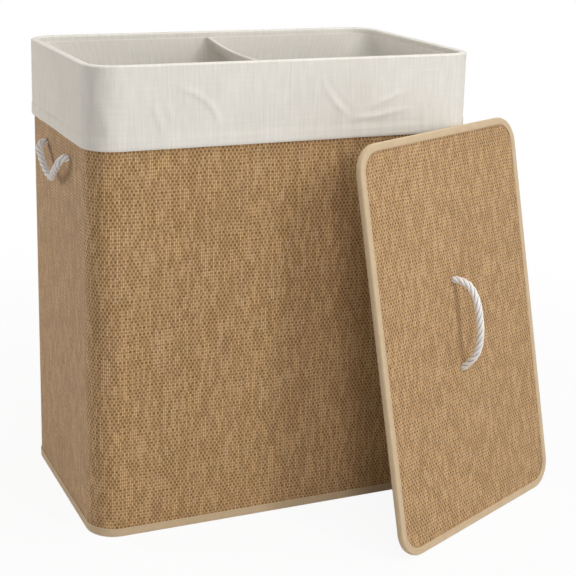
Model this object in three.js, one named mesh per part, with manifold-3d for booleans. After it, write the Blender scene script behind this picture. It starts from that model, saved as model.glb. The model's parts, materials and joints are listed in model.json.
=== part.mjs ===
// A laundry hamper with two bins: a stiff woven box, a lift-out cloth liner with two bags whose cuff folds
// over the rim, a rope handle at each end, and a separate lid that stands against the front right corner.
// Millimetres, +Z up. The origin is the middle of the hamper's foot, +X runs to the right along the front.
import * as THREE from 'three';
import { mergeVertices } from 'three/addons/utils/BufferGeometryUtils.js';
import Module from 'manifold-3d';

const manifold = await Module();
manifold.setup();

// The hamper over its woven wall
const hamperWidth = 538;
const hamperDepth = 320;
const hamperHeight = 630;
const cornerRadius = 38;
const cornerSteps = 8;

// Room left where two pieces touch
const touchGap = 0.3;

// The wall's layers, from the outside in
const weaveThickness = 1.6;
const boardThickness = 2;
const liningThickness = 0.8;
const wallThickness = weaveThickness + touchGap + boardThickness + touchGap + liningThickness;

// Tape folded over raw edges
const tapeThickness = 1;
const tapeNose = 1.4;
const tapeFoldSteps = 4;
const footTapeDepth = 12;
const rimTapeDepth = 16;
const tapeStand = touchGap + tapeThickness;

// The liner: its cuff hangs outside the rim, and its two bags hang inside
const clothThickness = 1;
const cuffDepth = 106;
const cuffInsideDepth = 42;
const cuffHemDepth = 14;
const cuffHemThickness = 1.8;
const rimNose = 3.4;
const cuffWaveHeight = 0.9;
const cuffWaveCount = 3;
const cuffSideSteps = 12;
const bagMouthDrop = 9;
const bagShoulderDrop = 60;
const bagShoulderDraw = 12;
const bagNeckDrop = 114;
const bagEndDraw = 22;
const bagSideDraw = 8;
const bagCornerRadius = 42;
const bagFloorRound = 5;
const bagFloorSteps = 3;

// The divider: the two bags' inner walls, taped together along their top edge, which sags in the middle
const dividerSag = 10;
const dividerSteps = 10;
const dividerCornerRadius = 7;
const dividerTapeDepth = 13;

// The base
const baseClothThickness = 1.2;
const baseBoardThickness = 3;
const baseBoardEase = 0.7;

// Support rods in sleeves at the four inner corners
const rodRadius = 2.5;
const rodEase = 0.5;
const rodHeadroom = 55;
const rodSides = 12;
const rodCapSteps = 3;
const sleeveThickness = 1;
const sleeveFootGap = 28;
const sleeveHeadroom = 70;
const sleeveWingAngleShare = 0.7;

// Rope handles at the ends
const ropeRadius = 5;
const ropeHoleEase = 0.4;
const ropeSides = 10;
const ropeSteps = 32;
const ropeEndSteps = 8;
const sideHoleSpacing = 112;
const sideHoleDrop = 133;
const sideStub = 5;
const sideLoopReach = 3;
const sideLoopDrop = 40;
const knotRadius = 11;
const knotLength = 14;
const knotTail = 4;
const knotSides = 12;

// The lid, and how it stands against the hamper
const lidWidth = 354;
const lidLength = 543;
const lidCornerRadius = 38;
const lidBoardThickness = 3;
const lidTapeDepth = 10;
const lidHoleSpacing = 122;
const lidHandleRise = 7.5;
const lidHandleSideways = -3.5;
const lidLoopHeight = 30;
const lidTurn = THREE.MathUtils.degToRad(24.45);
const lidLean = THREE.MathUtils.degToRad(11.4);
const lidSideways = -52;

// Cutters run past what they cut by this much
const overrun = 2;
const mergeTolerance = 1e-3;

const finish = (name, color, roughness, metalness = 0) =>
  new THREE.MeshStandardMaterial({ name, color, roughness, metalness });
const weave = finish('weave', '#bd9560', 0.85);
const board = finish('board', '#b9a27f', 0.9);
const plainCloth = finish('plain_cloth', '#d8cfbd', 0.95);
const linerCloth = finish('liner_cloth', '#e9e5db', 0.95);
const tape = finish('tape', '#d8c5a0', 0.9);
const rope = finish('rope', '#eeebe4', 0.9);
const rodSteel = finish('rod_steel', '#9a9da0', 0.4, 1);

const hamper = new THREE.Group();

function place(name, geometry, material, group = hamper) {
  const mesh = new THREE.Mesh(geometry, material);
  mesh.name = name;
  group.add(mesh);
  return mesh;
}

// Solids for cutting and joining
function toSolid(geometry) {
  const bare = geometry.index ? geometry.toNonIndexed() : geometry.clone();
  bare.deleteAttribute('normal');
  bare.deleteAttribute('uv');
  const merged = mergeVertices(bare, mergeTolerance);
  const vertProperties = merged.attributes.position.array;
  const triVerts = new Uint32Array(merged.index.array);
  return new manifold.Manifold(new manifold.Mesh({ numProp: 3, vertProperties, triVerts }));
}

function toGeometry(solid) {
  const mesh = solid.getMesh();
  const geometry = new THREE.BufferGeometry();
  geometry.setAttribute('position', new THREE.BufferAttribute(mesh.vertProperties, 3));
  geometry.setIndex(new THREE.BufferAttribute(mesh.triVerts, 1));
  geometry.computeVertexNormals();
  return geometry;
}

function cut(geometry, tools) {
  return toGeometry(tools.reduce((solid, tool) => solid.subtract(toSolid(tool)), toSolid(geometry)));
}

function join(geometries) {
  return toGeometry(geometries.map(toSolid).reduce((whole, piece) => whole.add(piece)));
}

// The walk round a rounded rectangle, as points with the way out at each, so that parallel loops share it
function roundedWalk(width, depth, radius, sideSteps = 1) {
  const walk = [];
  const corners = [[1, -1], [1, 1], [-1, 1], [-1, -1]];
  corners.forEach(([right, back], quarter) => {
    const centre = new THREE.Vector2(right * (width / 2 - radius), back * (depth / 2 - radius));
    for (let step = 0; step <= cornerSteps; step++) {
      const angle = (quarter - 1 + step / cornerSteps) * Math.PI / 2;
      const out = new THREE.Vector2(Math.cos(angle), Math.sin(angle));
      walk.push({ at: centre.clone().addScaledVector(out, radius), out, alongShare: 0 });
    }
    const [nextRight, nextBack] = corners[(quarter + 1) % corners.length];
    const nextCentre = new THREE.Vector2(nextRight * (width / 2 - radius), nextBack * (depth / 2 - radius));
    const { at: start, out } = walk.at(-1);
    const run = nextCentre.sub(centre);
    for (let step = 1; step < sideSteps; step++) {
      const alongShare = step / sideSteps;
      walk.push({ at: start.clone().addScaledVector(run, alongShare), out, alongShare });
    }
  });
  return walk;
}

// One loop of a walk, drawn in by an inset at a height; swell pushes single points outwards
function loop(walk, inset, height, swell = () => 0) {
  return walk.map((stop) => {
    const reach = swell(stop) - inset;
    return new THREE.Vector3(stop.at.x + stop.out.x * reach, stop.at.y + stop.out.y * reach, height);
  });
}

// A closed skin over loops with the same number of points. Capped, its ends are flat on the two axes named;
// uncapped, the last loop meets the first.
function skin(loops, capped, axes = ['x', 'y']) {
  const count = loops[0].length;
  const points = loops.flat();
  const faces = [];
  const bands = capped ? loops.length - 1 : loops.length;
  for (let band = 0; band < bands; band++) {
    const low = band * count;
    const high = ((band + 1) % loops.length) * count;
    for (let i = 0; i < count; i++) {
      const next = (i + 1) % count;
      faces.push([low + i, low + next, high + next], [low + i, high + next, high + i]);
    }
  }
  if (capped) {
    const last = (loops.length - 1) * count;
    const outline = loops[0].map((p) => new THREE.Vector2(p[axes[0]], p[axes[1]]));
    const cap = THREE.ShapeUtils.triangulateShape(outline, []);
    cap.forEach(([a, b, c]) => faces.push([c, b, a], [last + a, last + b, last + c]));
  }
  const volume = faces.reduce((sum, [a, b, c]) =>
    sum + points[a].dot(points[b].clone().cross(points[c])), 0);
  const turned = volume < 0 ? faces.map(([a, b, c]) => [a, c, b]) : faces;
  const geometry = new THREE.BufferGeometry().setFromPoints(points);
  geometry.setIndex(turned.flat());
  geometry.computeVertexNormals();
  return geometry;
}

// A flat sheet or board with rounded corners, between two heights
function plate(walk, inset, bottom, top) {
  return skin([loop(walk, inset, bottom), loop(walk, inset, top)], true);
}

// The outline of a tape folded over an edge: in from the fold's nose, and across the edge from its middle
function foldedTape(edgeThickness, legDepth) {
  const inner = edgeThickness / 2 + touchGap;
  const outer = inner + tapeThickness;
  const nose = Array.from({ length: tapeFoldSteps + 1 }, (_, step) => {
    const angle = Math.PI * (1 / 2 - step / tapeFoldSteps);
    return [tapeNose * (1 - Math.cos(angle)), outer * Math.sin(angle)];
  });
  return [[legDepth, outer], ...nose, [legDepth, -outer], [legDepth, -inner],
    [tapeNose, -inner], [tapeNose, inner], [legDepth, inner]];
}

// The woven wall with its board and lining, open at top and bottom, with holes for the rope handles
const wallWalk = roundedWalk(hamperWidth, hamperDepth, cornerRadius);
const wallMiddle = wallThickness / 2;
const wallFoot = tapeNose + touchGap;
const wallTop = hamperHeight - rimNose - touchGap - tapeNose - touchGap;
const sideHoleHeight = hamperHeight - sideHoleDrop;
const sideHoles = [-1, 1].map((back) => {
  const drill = new THREE.CylinderGeometry(
    ropeRadius + ropeHoleEase, ropeRadius + ropeHoleEase, hamperWidth + overrun * 2, rodSides);
  return drill.rotateZ(Math.PI / 2).translate(0, back * sideHoleSpacing / 2, sideHoleHeight);
});

function wallLayer(name, outside, thickness, material) {
  const layer = skin([
    loop(wallWalk, outside, wallFoot),
    loop(wallWalk, outside, wallTop),
    loop(wallWalk, outside + thickness, wallTop),
    loop(wallWalk, outside + thickness, wallFoot),
  ], false);
  return place(name, cut(layer, sideHoles), material);
}

const boardInset = weaveThickness + touchGap;
const liningInset = boardInset + boardThickness + touchGap;
wallLayer('woven_wall', 0, weaveThickness, weave);
wallLayer('wall_board', boardInset, boardThickness, board);
wallLayer('wall_lining', liningInset, liningThickness, plainCloth);

const footTape = foldedTape(wallThickness, footTapeDepth);
place('foot_binding', skin(footTape.map(([up, across]) =>
  loop(wallWalk, wallMiddle + across, up)), false), tape);

const rimTapeTop = hamperHeight - rimNose - touchGap;
const rimTape = foldedTape(wallThickness, rimTapeDepth);
place('rim_binding', skin(rimTape.map(([down, across]) =>
  loop(wallWalk, wallMiddle + across, rimTapeTop - down)), false), tape);

// The base: a cloth panel sewn into the foot, and a stiff board that lies on it
const baseInset = wallThickness + tapeStand + touchGap;
const baseBoardTop = baseClothThickness + touchGap + baseBoardThickness;
place('base_cloth', plate(wallWalk, baseInset, 0, baseClothThickness), plainCloth);
const baseBoardPlate = plate(wallWalk, baseInset + baseBoardEase, baseClothThickness + touchGap, baseBoardTop);
place('base_board', baseBoardPlate, board);

// Rods and their sleeves. A sleeve is a cloth tube on a wing that is sewn to the lining round the corner.
const sleeveRadius = rodRadius + rodEase + sleeveThickness;
const sleeveBack = cornerRadius - wallThickness - touchGap;
const sleeveReach = sleeveBack - sleeveRadius;
const sleeveFoot = baseBoardTop + sleeveFootGap;
const sleeveTop = hamperHeight - sleeveHeadroom;
const rodFoot = baseBoardTop + touchGap;
const rodTop = hamperHeight - rodHeadroom;

function sleeveWing() {
  const spread = sleeveWingAngleShare * Math.PI / 4;
  const wing = new THREE.Shape();
  wing.absarc(0, 0, sleeveBack, -spread, spread, false);
  wing.absarc(0, 0, sleeveBack - sleeveThickness, spread, -spread, true);
  return new THREE.ExtrudeGeometry(wing, {
    depth: sleeveTop - sleeveFoot, bevelEnabled: false, curveSegments: cornerSteps,
  }).translate(0, 0, sleeveFoot);
}

function sleeve() {
  const tube = new THREE.CylinderGeometry(sleeveRadius, sleeveRadius, sleeveTop - sleeveFoot, rodSides);
  const bore = new THREE.CylinderGeometry(
    rodRadius + rodEase, rodRadius + rodEase, sleeveTop - sleeveFoot + overrun * 2, rodSides);
  const upright = (geometry) =>
    geometry.rotateX(Math.PI / 2).translate(sleeveReach, 0, (sleeveFoot + sleeveTop) / 2);
  return cut(join([sleeveWing(), upright(tube)]), [upright(bore)]);
}

const rodCorners = { front_left: [-1, -1], front_right: [1, -1], back_right: [1, 1], back_left: [-1, 1] };
for (const [corner, [right, back]] of Object.entries(rodCorners)) {
  const turn = Math.atan2(back, right);
  const standing = new THREE.Group();
  standing.position.set(right * (hamperWidth / 2 - cornerRadius), back * (hamperDepth / 2 - cornerRadius), 0);
  standing.rotation.z = turn;
  hamper.add(standing);
  const rod = new THREE.CapsuleGeometry(
    rodRadius, rodTop - rodFoot - rodRadius * 2, rodCapSteps, rodSides);
  rod.rotateX(Math.PI / 2).translate(sleeveReach, 0, (rodFoot + rodTop) / 2);
  place(`${corner}_rod`, rod, rodSteel, standing);
  place(`${corner}_sleeve`, sleeve(), plainCloth, standing);
}

// Ropes. An end runs through the wall and is stopped by a knot of two turns behind it: along +Y from its
// outer end. The knot's outline is in shares of its radius and its length.
const knotOutlineShares = [[0.86, 0.06], [1, 0.26], [0.84, 0.5], [1, 0.74], [0.8, 0.96]];

function ropeEnd(wall, stub) {
  const behind = wall + touchGap;
  const outline = [
    [0, -stub], [ropeRadius, -stub], [ropeRadius, behind],
    ...knotOutlineShares.map(([out, along]) => [knotRadius * out, behind + knotLength * along]),
    [ropeRadius, behind + knotLength],
    [ropeRadius, behind + knotLength + knotTail], [0, behind + knotLength + knotTail],
  ];
  return new THREE.LatheGeometry(outline.map(([r, y]) => new THREE.Vector2(r, y)), knotSides);
}

// The loop between two holes, from pivot to pivot, with round ends that turn in place
function ropeLoop(points) {
  const curve = new THREE.CatmullRomCurve3(points, false, 'centripetal');
  const section = new THREE.Shape();
  section.absarc(0, 0, ropeRadius, 0, Math.PI * 2, false);
  const run = new THREE.ExtrudeGeometry(section, {
    steps: ropeSteps, extrudePath: curve, curveSegments: ropeSides / 2, bevelEnabled: false,
  });
  const ends = [points[0], points.at(-1)].map((end) =>
    new THREE.SphereGeometry(ropeRadius, ropeSides, ropeEndSteps).translate(end.x, end.y, end.z));
  return join([run, ...ends]);
}

// Half a loop as shares of its half spacing, reach and drop; the other half mirrors it
function bothHalves(halfShares) {
  const mirrored = halfShares.slice(0, -1).reverse().map(([along, ...rest]) => [-along, ...rest]);
  return [...halfShares, ...mirrored];
}

const sideLoopShares = bothHalves([
  [1, 0, 0], [0.97, 0.5, 0.09], [0.86, 0.9, 0.24], [0.66, 1, 0.46], [0.42, 1, 0.7],
  [0.18, 0.98, 0.92], [0, 0.96, 1],
]);
const sidePivotOut = sideStub + touchGap + ropeRadius;
for (const [side, right] of [['left', -1], ['right', 1]]) {
  const wallFace = hamperWidth / 2;
  for (const [end, back] of [['front', -1], ['back', 1]]) {
    const knot = ropeEnd(wallThickness, sideStub).rotateZ(right * Math.PI / 2);
    knot.translate(right * wallFace, back * sideHoleSpacing / 2, sideHoleHeight);
    place(`${side}_${end}_knot`, knot, rope);
  }
  const points = sideLoopShares.map(([along, out, drop]) => new THREE.Vector3(
    right * (wallFace + sidePivotOut + out * sideLoopReach),
    along * sideHoleSpacing / 2,
    sideHoleHeight - drop * sideLoopDrop));
  place(`${side}_rope_handle`, ropeLoop(points), rope);
}

// The cuff: cloth folded over the rim, with a hem round its lower edge and soft waves along the sides
const cuffNear = wallMiddle + tapeStand + touchGap;
const cuffFar = cuffNear + clothThickness;
const cuffHemFar = cuffNear + cuffHemThickness;
const cuffWalk = roundedWalk(hamperWidth, hamperDepth, cornerRadius, cuffSideSteps);
const cuffWave = (hangShare) => (stop) =>
  cuffWaveHeight * hangShare * Math.sin(stop.alongShare * Math.PI) ** 2
  * (1 + Math.sin(stop.alongShare * cuffWaveCount * Math.PI * 2)) / 2;
const rimRound = Array.from({ length: tapeFoldSteps + 1 }, (_, step) => {
  const angle = Math.PI * (1 / 2 - step / tapeFoldSteps);
  return { down: rimNose * (1 - Math.cos(angle)), across: -cuffFar * Math.sin(angle), hangShare: 0 };
});
const hemTop = cuffDepth - cuffHemDepth;
const cuffOutline = [
  { down: cuffDepth, across: -cuffHemFar, hangShare: 1 },
  { down: hemTop, across: -cuffHemFar, hangShare: 0.85 },
  { down: hemTop - cuffHemThickness, across: -cuffFar, hangShare: 0.8 },
  { down: cuffDepth / 2, across: -cuffFar, hangShare: 0.4 },
  ...rimRound,
  { down: cuffInsideDepth, across: cuffFar, hangShare: 0 },
  { down: cuffInsideDepth, across: cuffNear, hangShare: 0 },
  { down: rimNose, across: cuffNear, hangShare: 0 },
  { down: rimNose, across: -cuffNear, hangShare: 0 },
  { down: cuffDepth / 2, across: -cuffNear, hangShare: 0.4 },
  { down: cuffDepth, across: -cuffNear, hangShare: 1 },
];
place('liner_cuff', skin(cuffOutline.map(({ down, across, hangShare }) =>
  loop(cuffWalk, wallMiddle + across, hamperHeight - down, cuffWave(hangShare))), false), linerCloth);

// A rounded loop of corners, counter-clockwise from above. A corner's runUp gives the heights of the points
// on the straight run to the next corner.
function roundedLoop(corners, height) {
  return corners.flatMap(({ at, radius, runUp = [] }, i) => {
    const next = corners[(i + 1) % corners.length];
    const before = corners.at(i - 1).at.clone().sub(at).normalize();
    const after = next.at.clone().sub(at).normalize();
    const centre = at.clone().addScaledVector(before.clone().add(after), radius);
    const start = after.clone().multiplyScalar(-radius);
    const arc = Array.from({ length: cornerSteps + 1 }, (_, step) =>
      start.clone().rotateAround(new THREE.Vector2(), Math.PI / 2 * step / cornerSteps).add(centre));
    const from = arc.at(-1);
    const to = next.at.clone().addScaledVector(after, -next.radius);
    const run = runUp.map((rise, step) =>
      [from.clone().lerp(to, (step + 1) / (runUp.length + 1)), height + rise]);
    return [...arc.map((point) => [point, height]), ...run]
      .map(([point, up]) => new THREE.Vector3(point.x, point.y, up));
  });
}

// A bag from above at one level: drawn in from the wall, and straight along the divider at its inner side
const bagFloor = baseBoardTop + touchGap;
const bagMouth = hamperHeight - bagMouthDrop;
const bagMouthDraw = cuffFar - wallMiddle + touchGap;
const bagBody = { end: bagEndDraw, side: bagSideDraw, radius: bagCornerRadius, sag: 0 };
const bagLevels = [
  { height: bagFloor + bagFloorRound, ...bagBody },
  { height: hamperHeight - bagNeckDrop, ...bagBody },
  { height: hamperHeight - bagShoulderDrop, end: bagShoulderDraw,
    side: (bagMouthDraw + bagSideDraw) / 2, radius: (bagCornerRadius + cornerRadius) / 2, sag: 0 },
  { height: bagMouth, end: bagMouthDraw, side: bagMouthDraw,
    radius: cornerRadius - wallThickness - bagMouthDraw, sag: dividerSag },
];
const sagAt = (share) => 4 * share * (1 - share);

function bagLoop(right, level, inset, height = level.height) {
  const halfDepth = hamperDepth / 2 - wallThickness - level.side - inset;
  const outerX = right * (hamperWidth / 2 - wallThickness - level.end - inset);
  const innerX = right * (touchGap + inset);
  const corner = (x, back, radius) => (
    { at: new THREE.Vector2(x, back * halfDepth), radius: radius - inset });
  const outer = (back) => corner(outerX, back, level.radius);
  const inner = (back) => corner(innerX, back, dividerCornerRadius);
  const runUp = Array.from({ length: dividerSteps - 1 }, (_, step) =>
    -level.sag * sagAt((step + 1) / dividerSteps));
  const corners = right > 0
    ? [inner(-1), outer(-1), outer(1), { ...inner(1), runUp }]
    : [outer(-1), { ...inner(-1), runUp }, inner(1), outer(1)];
  return roundedLoop(corners, height);
}

// One side of a bag's cloth, from the edge of its floor up to the mouth
function bagSkin(right, inset) {
  const floorLoops = Array.from({ length: bagFloorSteps }, (_, step) => {
    const angle = Math.PI / 2 * step / bagFloorSteps;
    const draw = bagFloorRound * (1 - Math.sin(angle));
    const rise = inset + (bagFloorRound - inset) * (1 - Math.cos(angle));
    return bagLoop(right, bagLevels[0], inset + draw, bagFloor + rise);
  });
  return [...floorLoops, ...bagLevels.map((level) => bagLoop(right, level, inset))];
}

for (const [side, right] of [['left', -1], ['right', 1]]) {
  const cloth = [...bagSkin(right, 0), ...bagSkin(right, clothThickness).reverse()];
  place(`liner_${side}_bag`, skin(cloth, true), linerCloth);
}

// The tape over the two bags' inner walls, which makes the divider's top edge
const dividerTape = foldedTape((touchGap + clothThickness) * 2, dividerTapeDepth);
const dividerHalfRun = hamperDepth / 2 - wallThickness - bagMouthDraw - dividerCornerRadius;
const dividerTop = bagMouth + touchGap + tapeNose;
const dividerLoops = Array.from({ length: dividerSteps + 1 }, (_, step) => {
  const share = step / dividerSteps;
  const top = dividerTop - dividerSag * sagAt(share);
  return dividerTape.map(([down, across]) =>
    new THREE.Vector3(across, dividerHalfRun * (2 * share - 1), top - down));
});
place('divider_binding', skin(dividerLoops, true, ['x', 'z']), tape);

// The lid, lying flat about its own middle: short side along X, long side along Y, woven face up
const lidThickness = weaveThickness + touchGap + lidBoardThickness + touchGap + liningThickness;
const lidFace = lidThickness / 2;
const lidWalk = roundedWalk(lidWidth, lidLength, lidCornerRadius);
const lidTape = foldedTape(lidThickness, lidTapeDepth);
const lidInset = tapeNose + touchGap;
const lidBoardTop = lidFace - weaveThickness - touchGap;
const lid = new THREE.Group();
hamper.add(lid);
const lidHoles = [-1, 1].map((end) => new THREE.CylinderGeometry(
  ropeRadius + ropeHoleEase, ropeRadius + ropeHoleEase, lidThickness + overrun * 2, rodSides)
  .rotateX(Math.PI / 2).translate(lidHandleSideways, lidHandleRise + end * lidHoleSpacing / 2, 0));
const lidLayer = (name, bottom, top, material) =>
  place(name, cut(plate(lidWalk, lidInset, bottom, top), lidHoles), material, lid);
lidLayer('lid_woven_face', lidFace - weaveThickness, lidFace, weave);
lidLayer('lid_board', lidBoardTop - lidBoardThickness, lidBoardTop, board);
lidLayer('lid_lining', -lidFace, liningThickness - lidFace, plainCloth);
place('lid_binding', skin(lidTape.map(([inset, across]) => loop(lidWalk, inset, across)), false), tape, lid);
for (const [name, end] of [['lower', -1], ['upper', 1]]) {
  const knot = ropeEnd(lidThickness, 0).rotateX(-Math.PI / 2);
  knot.translate(lidHandleSideways, lidHandleRise + end * lidHoleSpacing / 2, lidFace);
  place(`lid_${name}_knot`, knot, rope, lid);
}
const lidLoopShares = bothHalves([[1, 0], [1, 0.22], [0.95, 0.52], [0.8, 0.8], [0.5, 0.95], [0, 1]]);
const lidPivotOut = touchGap + ropeRadius;
place('lid_rope_handle', ropeLoop(lidLoopShares.map(([along, out]) => new THREE.Vector3(
  lidHandleSideways,
  lidHandleRise + along * lidHoleSpacing / 2,
  lidFace + lidPivotOut + out * lidLoopHeight))), rope, lid);

// The lid stands on a short edge, turned and leaning back until its top edge meets the hamper's round corner:
// the cuff there, or the bare wall where the top edge stays below the cuff
const lidBack = Math.max(...lidTape.map(([inset, across]) =>
  (lidLength / 2 - inset) * Math.sin(lidLean) - across * Math.cos(lidLean)));
const lidDown = Math.max(...lidTape.map(([inset, across]) =>
  (lidLength / 2 - inset) * Math.cos(lidLean) - across * Math.sin(lidLean)));
const lidFront = new THREE.Vector2(Math.sin(lidTurn), -Math.cos(lidTurn));
const lidRight = new THREE.Vector2(Math.cos(lidTurn), Math.sin(lidTurn));
const cuffCorner = cornerRadius + cuffHemFar - wallMiddle;
const lidMeetsCuff = lidDown * 2 > hamperHeight - cuffDepth;
const lidStand = new THREE.Vector2(hamperWidth / 2 - cornerRadius, cornerRadius - hamperDepth / 2)
  .addScaledVector(lidFront, (lidMeetsCuff ? cuffCorner : cornerRadius) + touchGap + lidBack)
  .addScaledVector(lidRight, lidSideways);
lid.rotation.set(Math.PI / 2 - lidLean, 0, lidTurn, 'ZYX');
lid.position.set(lidStand.x, lidStand.y, lidDown);

export default hamper;
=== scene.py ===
# %% [markdown]
# # A laundry hamper with two bins
#
# The hamper is a box of stiff board with a woven straw skin. A cloth liner with two bags hangs in it, and
# the liner's cuff folds over the rim. Each end has a rope handle. A flat lid with a rope handle of its own
# stands on the floor and leans against the front right corner.
#
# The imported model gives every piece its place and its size, so nothing here is moved or scaled. This script
# gives the pieces their looks. Hard pieces that are right already keep their solids and get a finish.
# Cloth, rope, tape and weave are made again as finer meshes that fill the same space.

# %% Load the frame
import json
import math

import bmesh
import bpy
import numpy as np
from mathutils import Matrix, Vector


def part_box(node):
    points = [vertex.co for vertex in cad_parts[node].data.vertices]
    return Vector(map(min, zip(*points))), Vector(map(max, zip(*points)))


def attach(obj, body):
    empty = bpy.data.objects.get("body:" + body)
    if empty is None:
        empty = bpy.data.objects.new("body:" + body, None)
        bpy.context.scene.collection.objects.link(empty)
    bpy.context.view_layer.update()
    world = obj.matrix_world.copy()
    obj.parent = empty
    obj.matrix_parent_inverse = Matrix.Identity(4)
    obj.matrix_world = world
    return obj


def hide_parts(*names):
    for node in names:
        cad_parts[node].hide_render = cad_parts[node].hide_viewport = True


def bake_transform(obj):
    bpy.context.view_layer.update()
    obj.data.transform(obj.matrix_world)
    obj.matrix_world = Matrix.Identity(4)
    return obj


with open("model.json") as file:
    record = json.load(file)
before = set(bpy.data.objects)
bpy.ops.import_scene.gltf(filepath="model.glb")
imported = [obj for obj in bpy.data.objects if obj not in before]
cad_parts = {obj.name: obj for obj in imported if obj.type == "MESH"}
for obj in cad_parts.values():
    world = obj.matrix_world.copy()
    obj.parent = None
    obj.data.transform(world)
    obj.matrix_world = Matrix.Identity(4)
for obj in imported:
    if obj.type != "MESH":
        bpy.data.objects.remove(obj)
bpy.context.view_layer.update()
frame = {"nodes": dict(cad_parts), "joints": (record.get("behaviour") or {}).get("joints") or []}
MM = 0.001

# %% [markdown]
# ## The camera
#
# A product photo like this one is taken with a long lens, from a little above the rim and well to the left,
# so that the front, the left end and the mouth all show. A camera can be placed by eye, but here its place
# was worked out from the straight edges of the hamper. The picture is cut from a larger one, so the lens
# points at a spot that isn't the picture's middle, and a small shift makes up for that.

# %% Camera
photo_width = 576
focal_length = 1334.6
lens_spot = (248, 240)
camera_place = Vector((-0.7100, -1.7085, 0.8588))
pitch, yaw, roll = (math.radians(angle) for angle in (15.405, 22.819, 1.204))

ahead = Vector((math.sin(yaw) * math.cos(pitch), math.cos(yaw) * math.cos(pitch), -math.sin(pitch)))
level = Vector((math.cos(yaw), -math.sin(yaw), 0))
above = level.cross(ahead)
camera_right = level * math.cos(roll) + above * math.sin(roll)
camera_up = above * math.cos(roll) - level * math.sin(roll)

camera_data = bpy.data.cameras.new("camera")
camera_data.sensor_width = 36
camera_data.lens = focal_length / photo_width * camera_data.sensor_width
camera_data.shift_x = 0.5 - lens_spot[0] / photo_width
camera_data.shift_y = lens_spot[1] / photo_width - 0.5
camera = bpy.data.objects.new("camera", camera_data)
camera.matrix_world = Matrix((camera_right, camera_up, -ahead)).transposed().to_4x4()
camera.location = camera_place
bpy.context.scene.collection.objects.link(camera)
bpy.context.scene.camera = camera
print(f"Camera: a {camera_data.lens:.0f} mm lens, {camera_place.length:.2f} m from the hamper's foot")

# %% [markdown]
# ## Writing materials
#
# A material in Blender is a graph of nodes. Written out in full, each node takes three or four lines, and a
# sum of three numbers takes two nodes. So the recipes below are written with a few helpers. One adds a node
# and fills its inputs: an input that gets another node's value is linked to it, and an input that gets a
# number is set. The values that nodes work out can be added and multiplied as numbers can, and each such
# step adds a node.

# %% Nodes and the values that they work out
def add(tree, kind, inputs=None, **settings):
    """Adds a shader node. Inputs are named or counted, and hold a number, a colour, a socket or a Value."""
    made = tree.nodes.new("ShaderNode" + kind)
    for key, setting in settings.items():
        setattr(made, key, setting)
    for key, given in (inputs or {}).items():
        given = given.socket if isinstance(given, Value) else given
        if isinstance(given, bpy.types.NodeSocket):
            tree.links.new(given, made.inputs[key])
        else:
            made.inputs[key].default_value = given
    return made


def value_of(tree, kind, inputs=None, output=0, **settings):
    """Adds a shader node and gives the value of one of its outputs."""
    return Value(tree, add(tree, kind, inputs, **settings).outputs[output])


def sums(operation, *values):
    """One step of arithmetic on numbers and Values, of which at least one is a Value."""
    tree = next(value.tree for value in values if isinstance(value, Value))
    return value_of(tree, "Math", dict(enumerate(values)), operation=operation)


class Value:
    """What a node works out at each place of a surface, with which sums are written as with a number."""

    def __init__(self, tree, socket):
        self.tree = tree
        self.socket = socket

    def __add__(self, other):
        return sums("ADD", self, other)

    def __radd__(self, other):
        return sums("ADD", other, self)

    def __sub__(self, other):
        return sums("SUBTRACT", self, other)

    def __rsub__(self, other):
        return sums("SUBTRACT", other, self)

    def __mul__(self, other):
        return sums("MULTIPLY", self, other)

    def __rmul__(self, other):
        return sums("MULTIPLY", other, self)

    def __truediv__(self, other):
        return sums("DIVIDE", self, other)


print("Node helpers: a sum such as 1 - value * 0.5 adds two Math nodes")

# %% [markdown]
# Most recipes start from a few building blocks: an even ramp with soft ends, a blend of two colours, and a
# random value spread evenly to both sides of nothing. Colours are given as on a paint chip, from 0 to 255,
# because that is how they are read off a thing or a chart. Nodes work with linear light, so each colour is
# turned into that.

# %% Ramps, blends and paint
def eased(value, start, end):
    """Rises smoothly from 0 to 1 as the value goes from start to end."""
    limits = {"Value": value, "From Min": start, "From Max": end}
    return value_of(value.tree, "MapRange", limits, interpolation_type="SMOOTHSTEP")


def mixed(share, first, second):
    """The first colour with a share of the second mixed in."""
    return value_of(share.tree, "Mix", {0: share, 6: first, 7: second}, output=2, data_type="RGBA")


def centred(value, reach=1.0):
    """A value from 0 to 1 made to run from -reach/2 to reach/2."""
    return (value - 0.5) * reach


def paint(red, green, blue):
    """A paint chip's colour as the linear values that nodes work with."""
    shares = [value / 255 for value in (red, green, blue)]
    return [s / 12.92 if s <= 0.04045 else ((s + 0.055) / 1.055) ** 2.4 for s in shares] + [1]


straw_chip = paint(216, 179, 132)
print("Light straw in linear light:", [round(part, 3) for part in straw_chip[:3]])

# %% [markdown]
# Every finish of the hamper is dull: straw, cloth, cotton and board. One shader with low gloss does for all
# of them, with some sheen where loose fibres catch the light at the edges. Fine relief comes from a bump,
# which only tilts the light. Anything that shows at the silhouette is in the meshes instead.

# %% Shaders
dull_gloss = 0.2
sheen_roughness = 0.45


def new_material(name, roughness, sheen=0.0):
    """A material with one shader, whose gloss and sheen are the same all over."""
    made = bpy.data.materials.new(name)
    made.use_nodes = True
    shader = made.node_tree.nodes["Principled BSDF"]
    shader.inputs["Roughness"].default_value = roughness
    shader.inputs["Specular IOR Level"].default_value = dull_gloss
    shader.inputs["Sheen Weight"].default_value = sheen
    shader.inputs["Sheen Roughness"].default_value = sheen_roughness
    return made, made.node_tree, shader


def coloured(shader, colour):
    """Gives the shader a colour that nodes work out."""
    colour.tree.links.new(colour.socket, shader.inputs["Base Color"])


def relief(shader, height, depth, strength=1.0):
    """Bumps the shader's surface by a height from 0 to 1 over a depth in metres."""
    bump = value_of(height.tree, "Bump", {"Height": height, "Distance": depth, "Strength": strength})
    height.tree.links.new(bump.socket, shader.inputs["Normal"])


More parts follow.
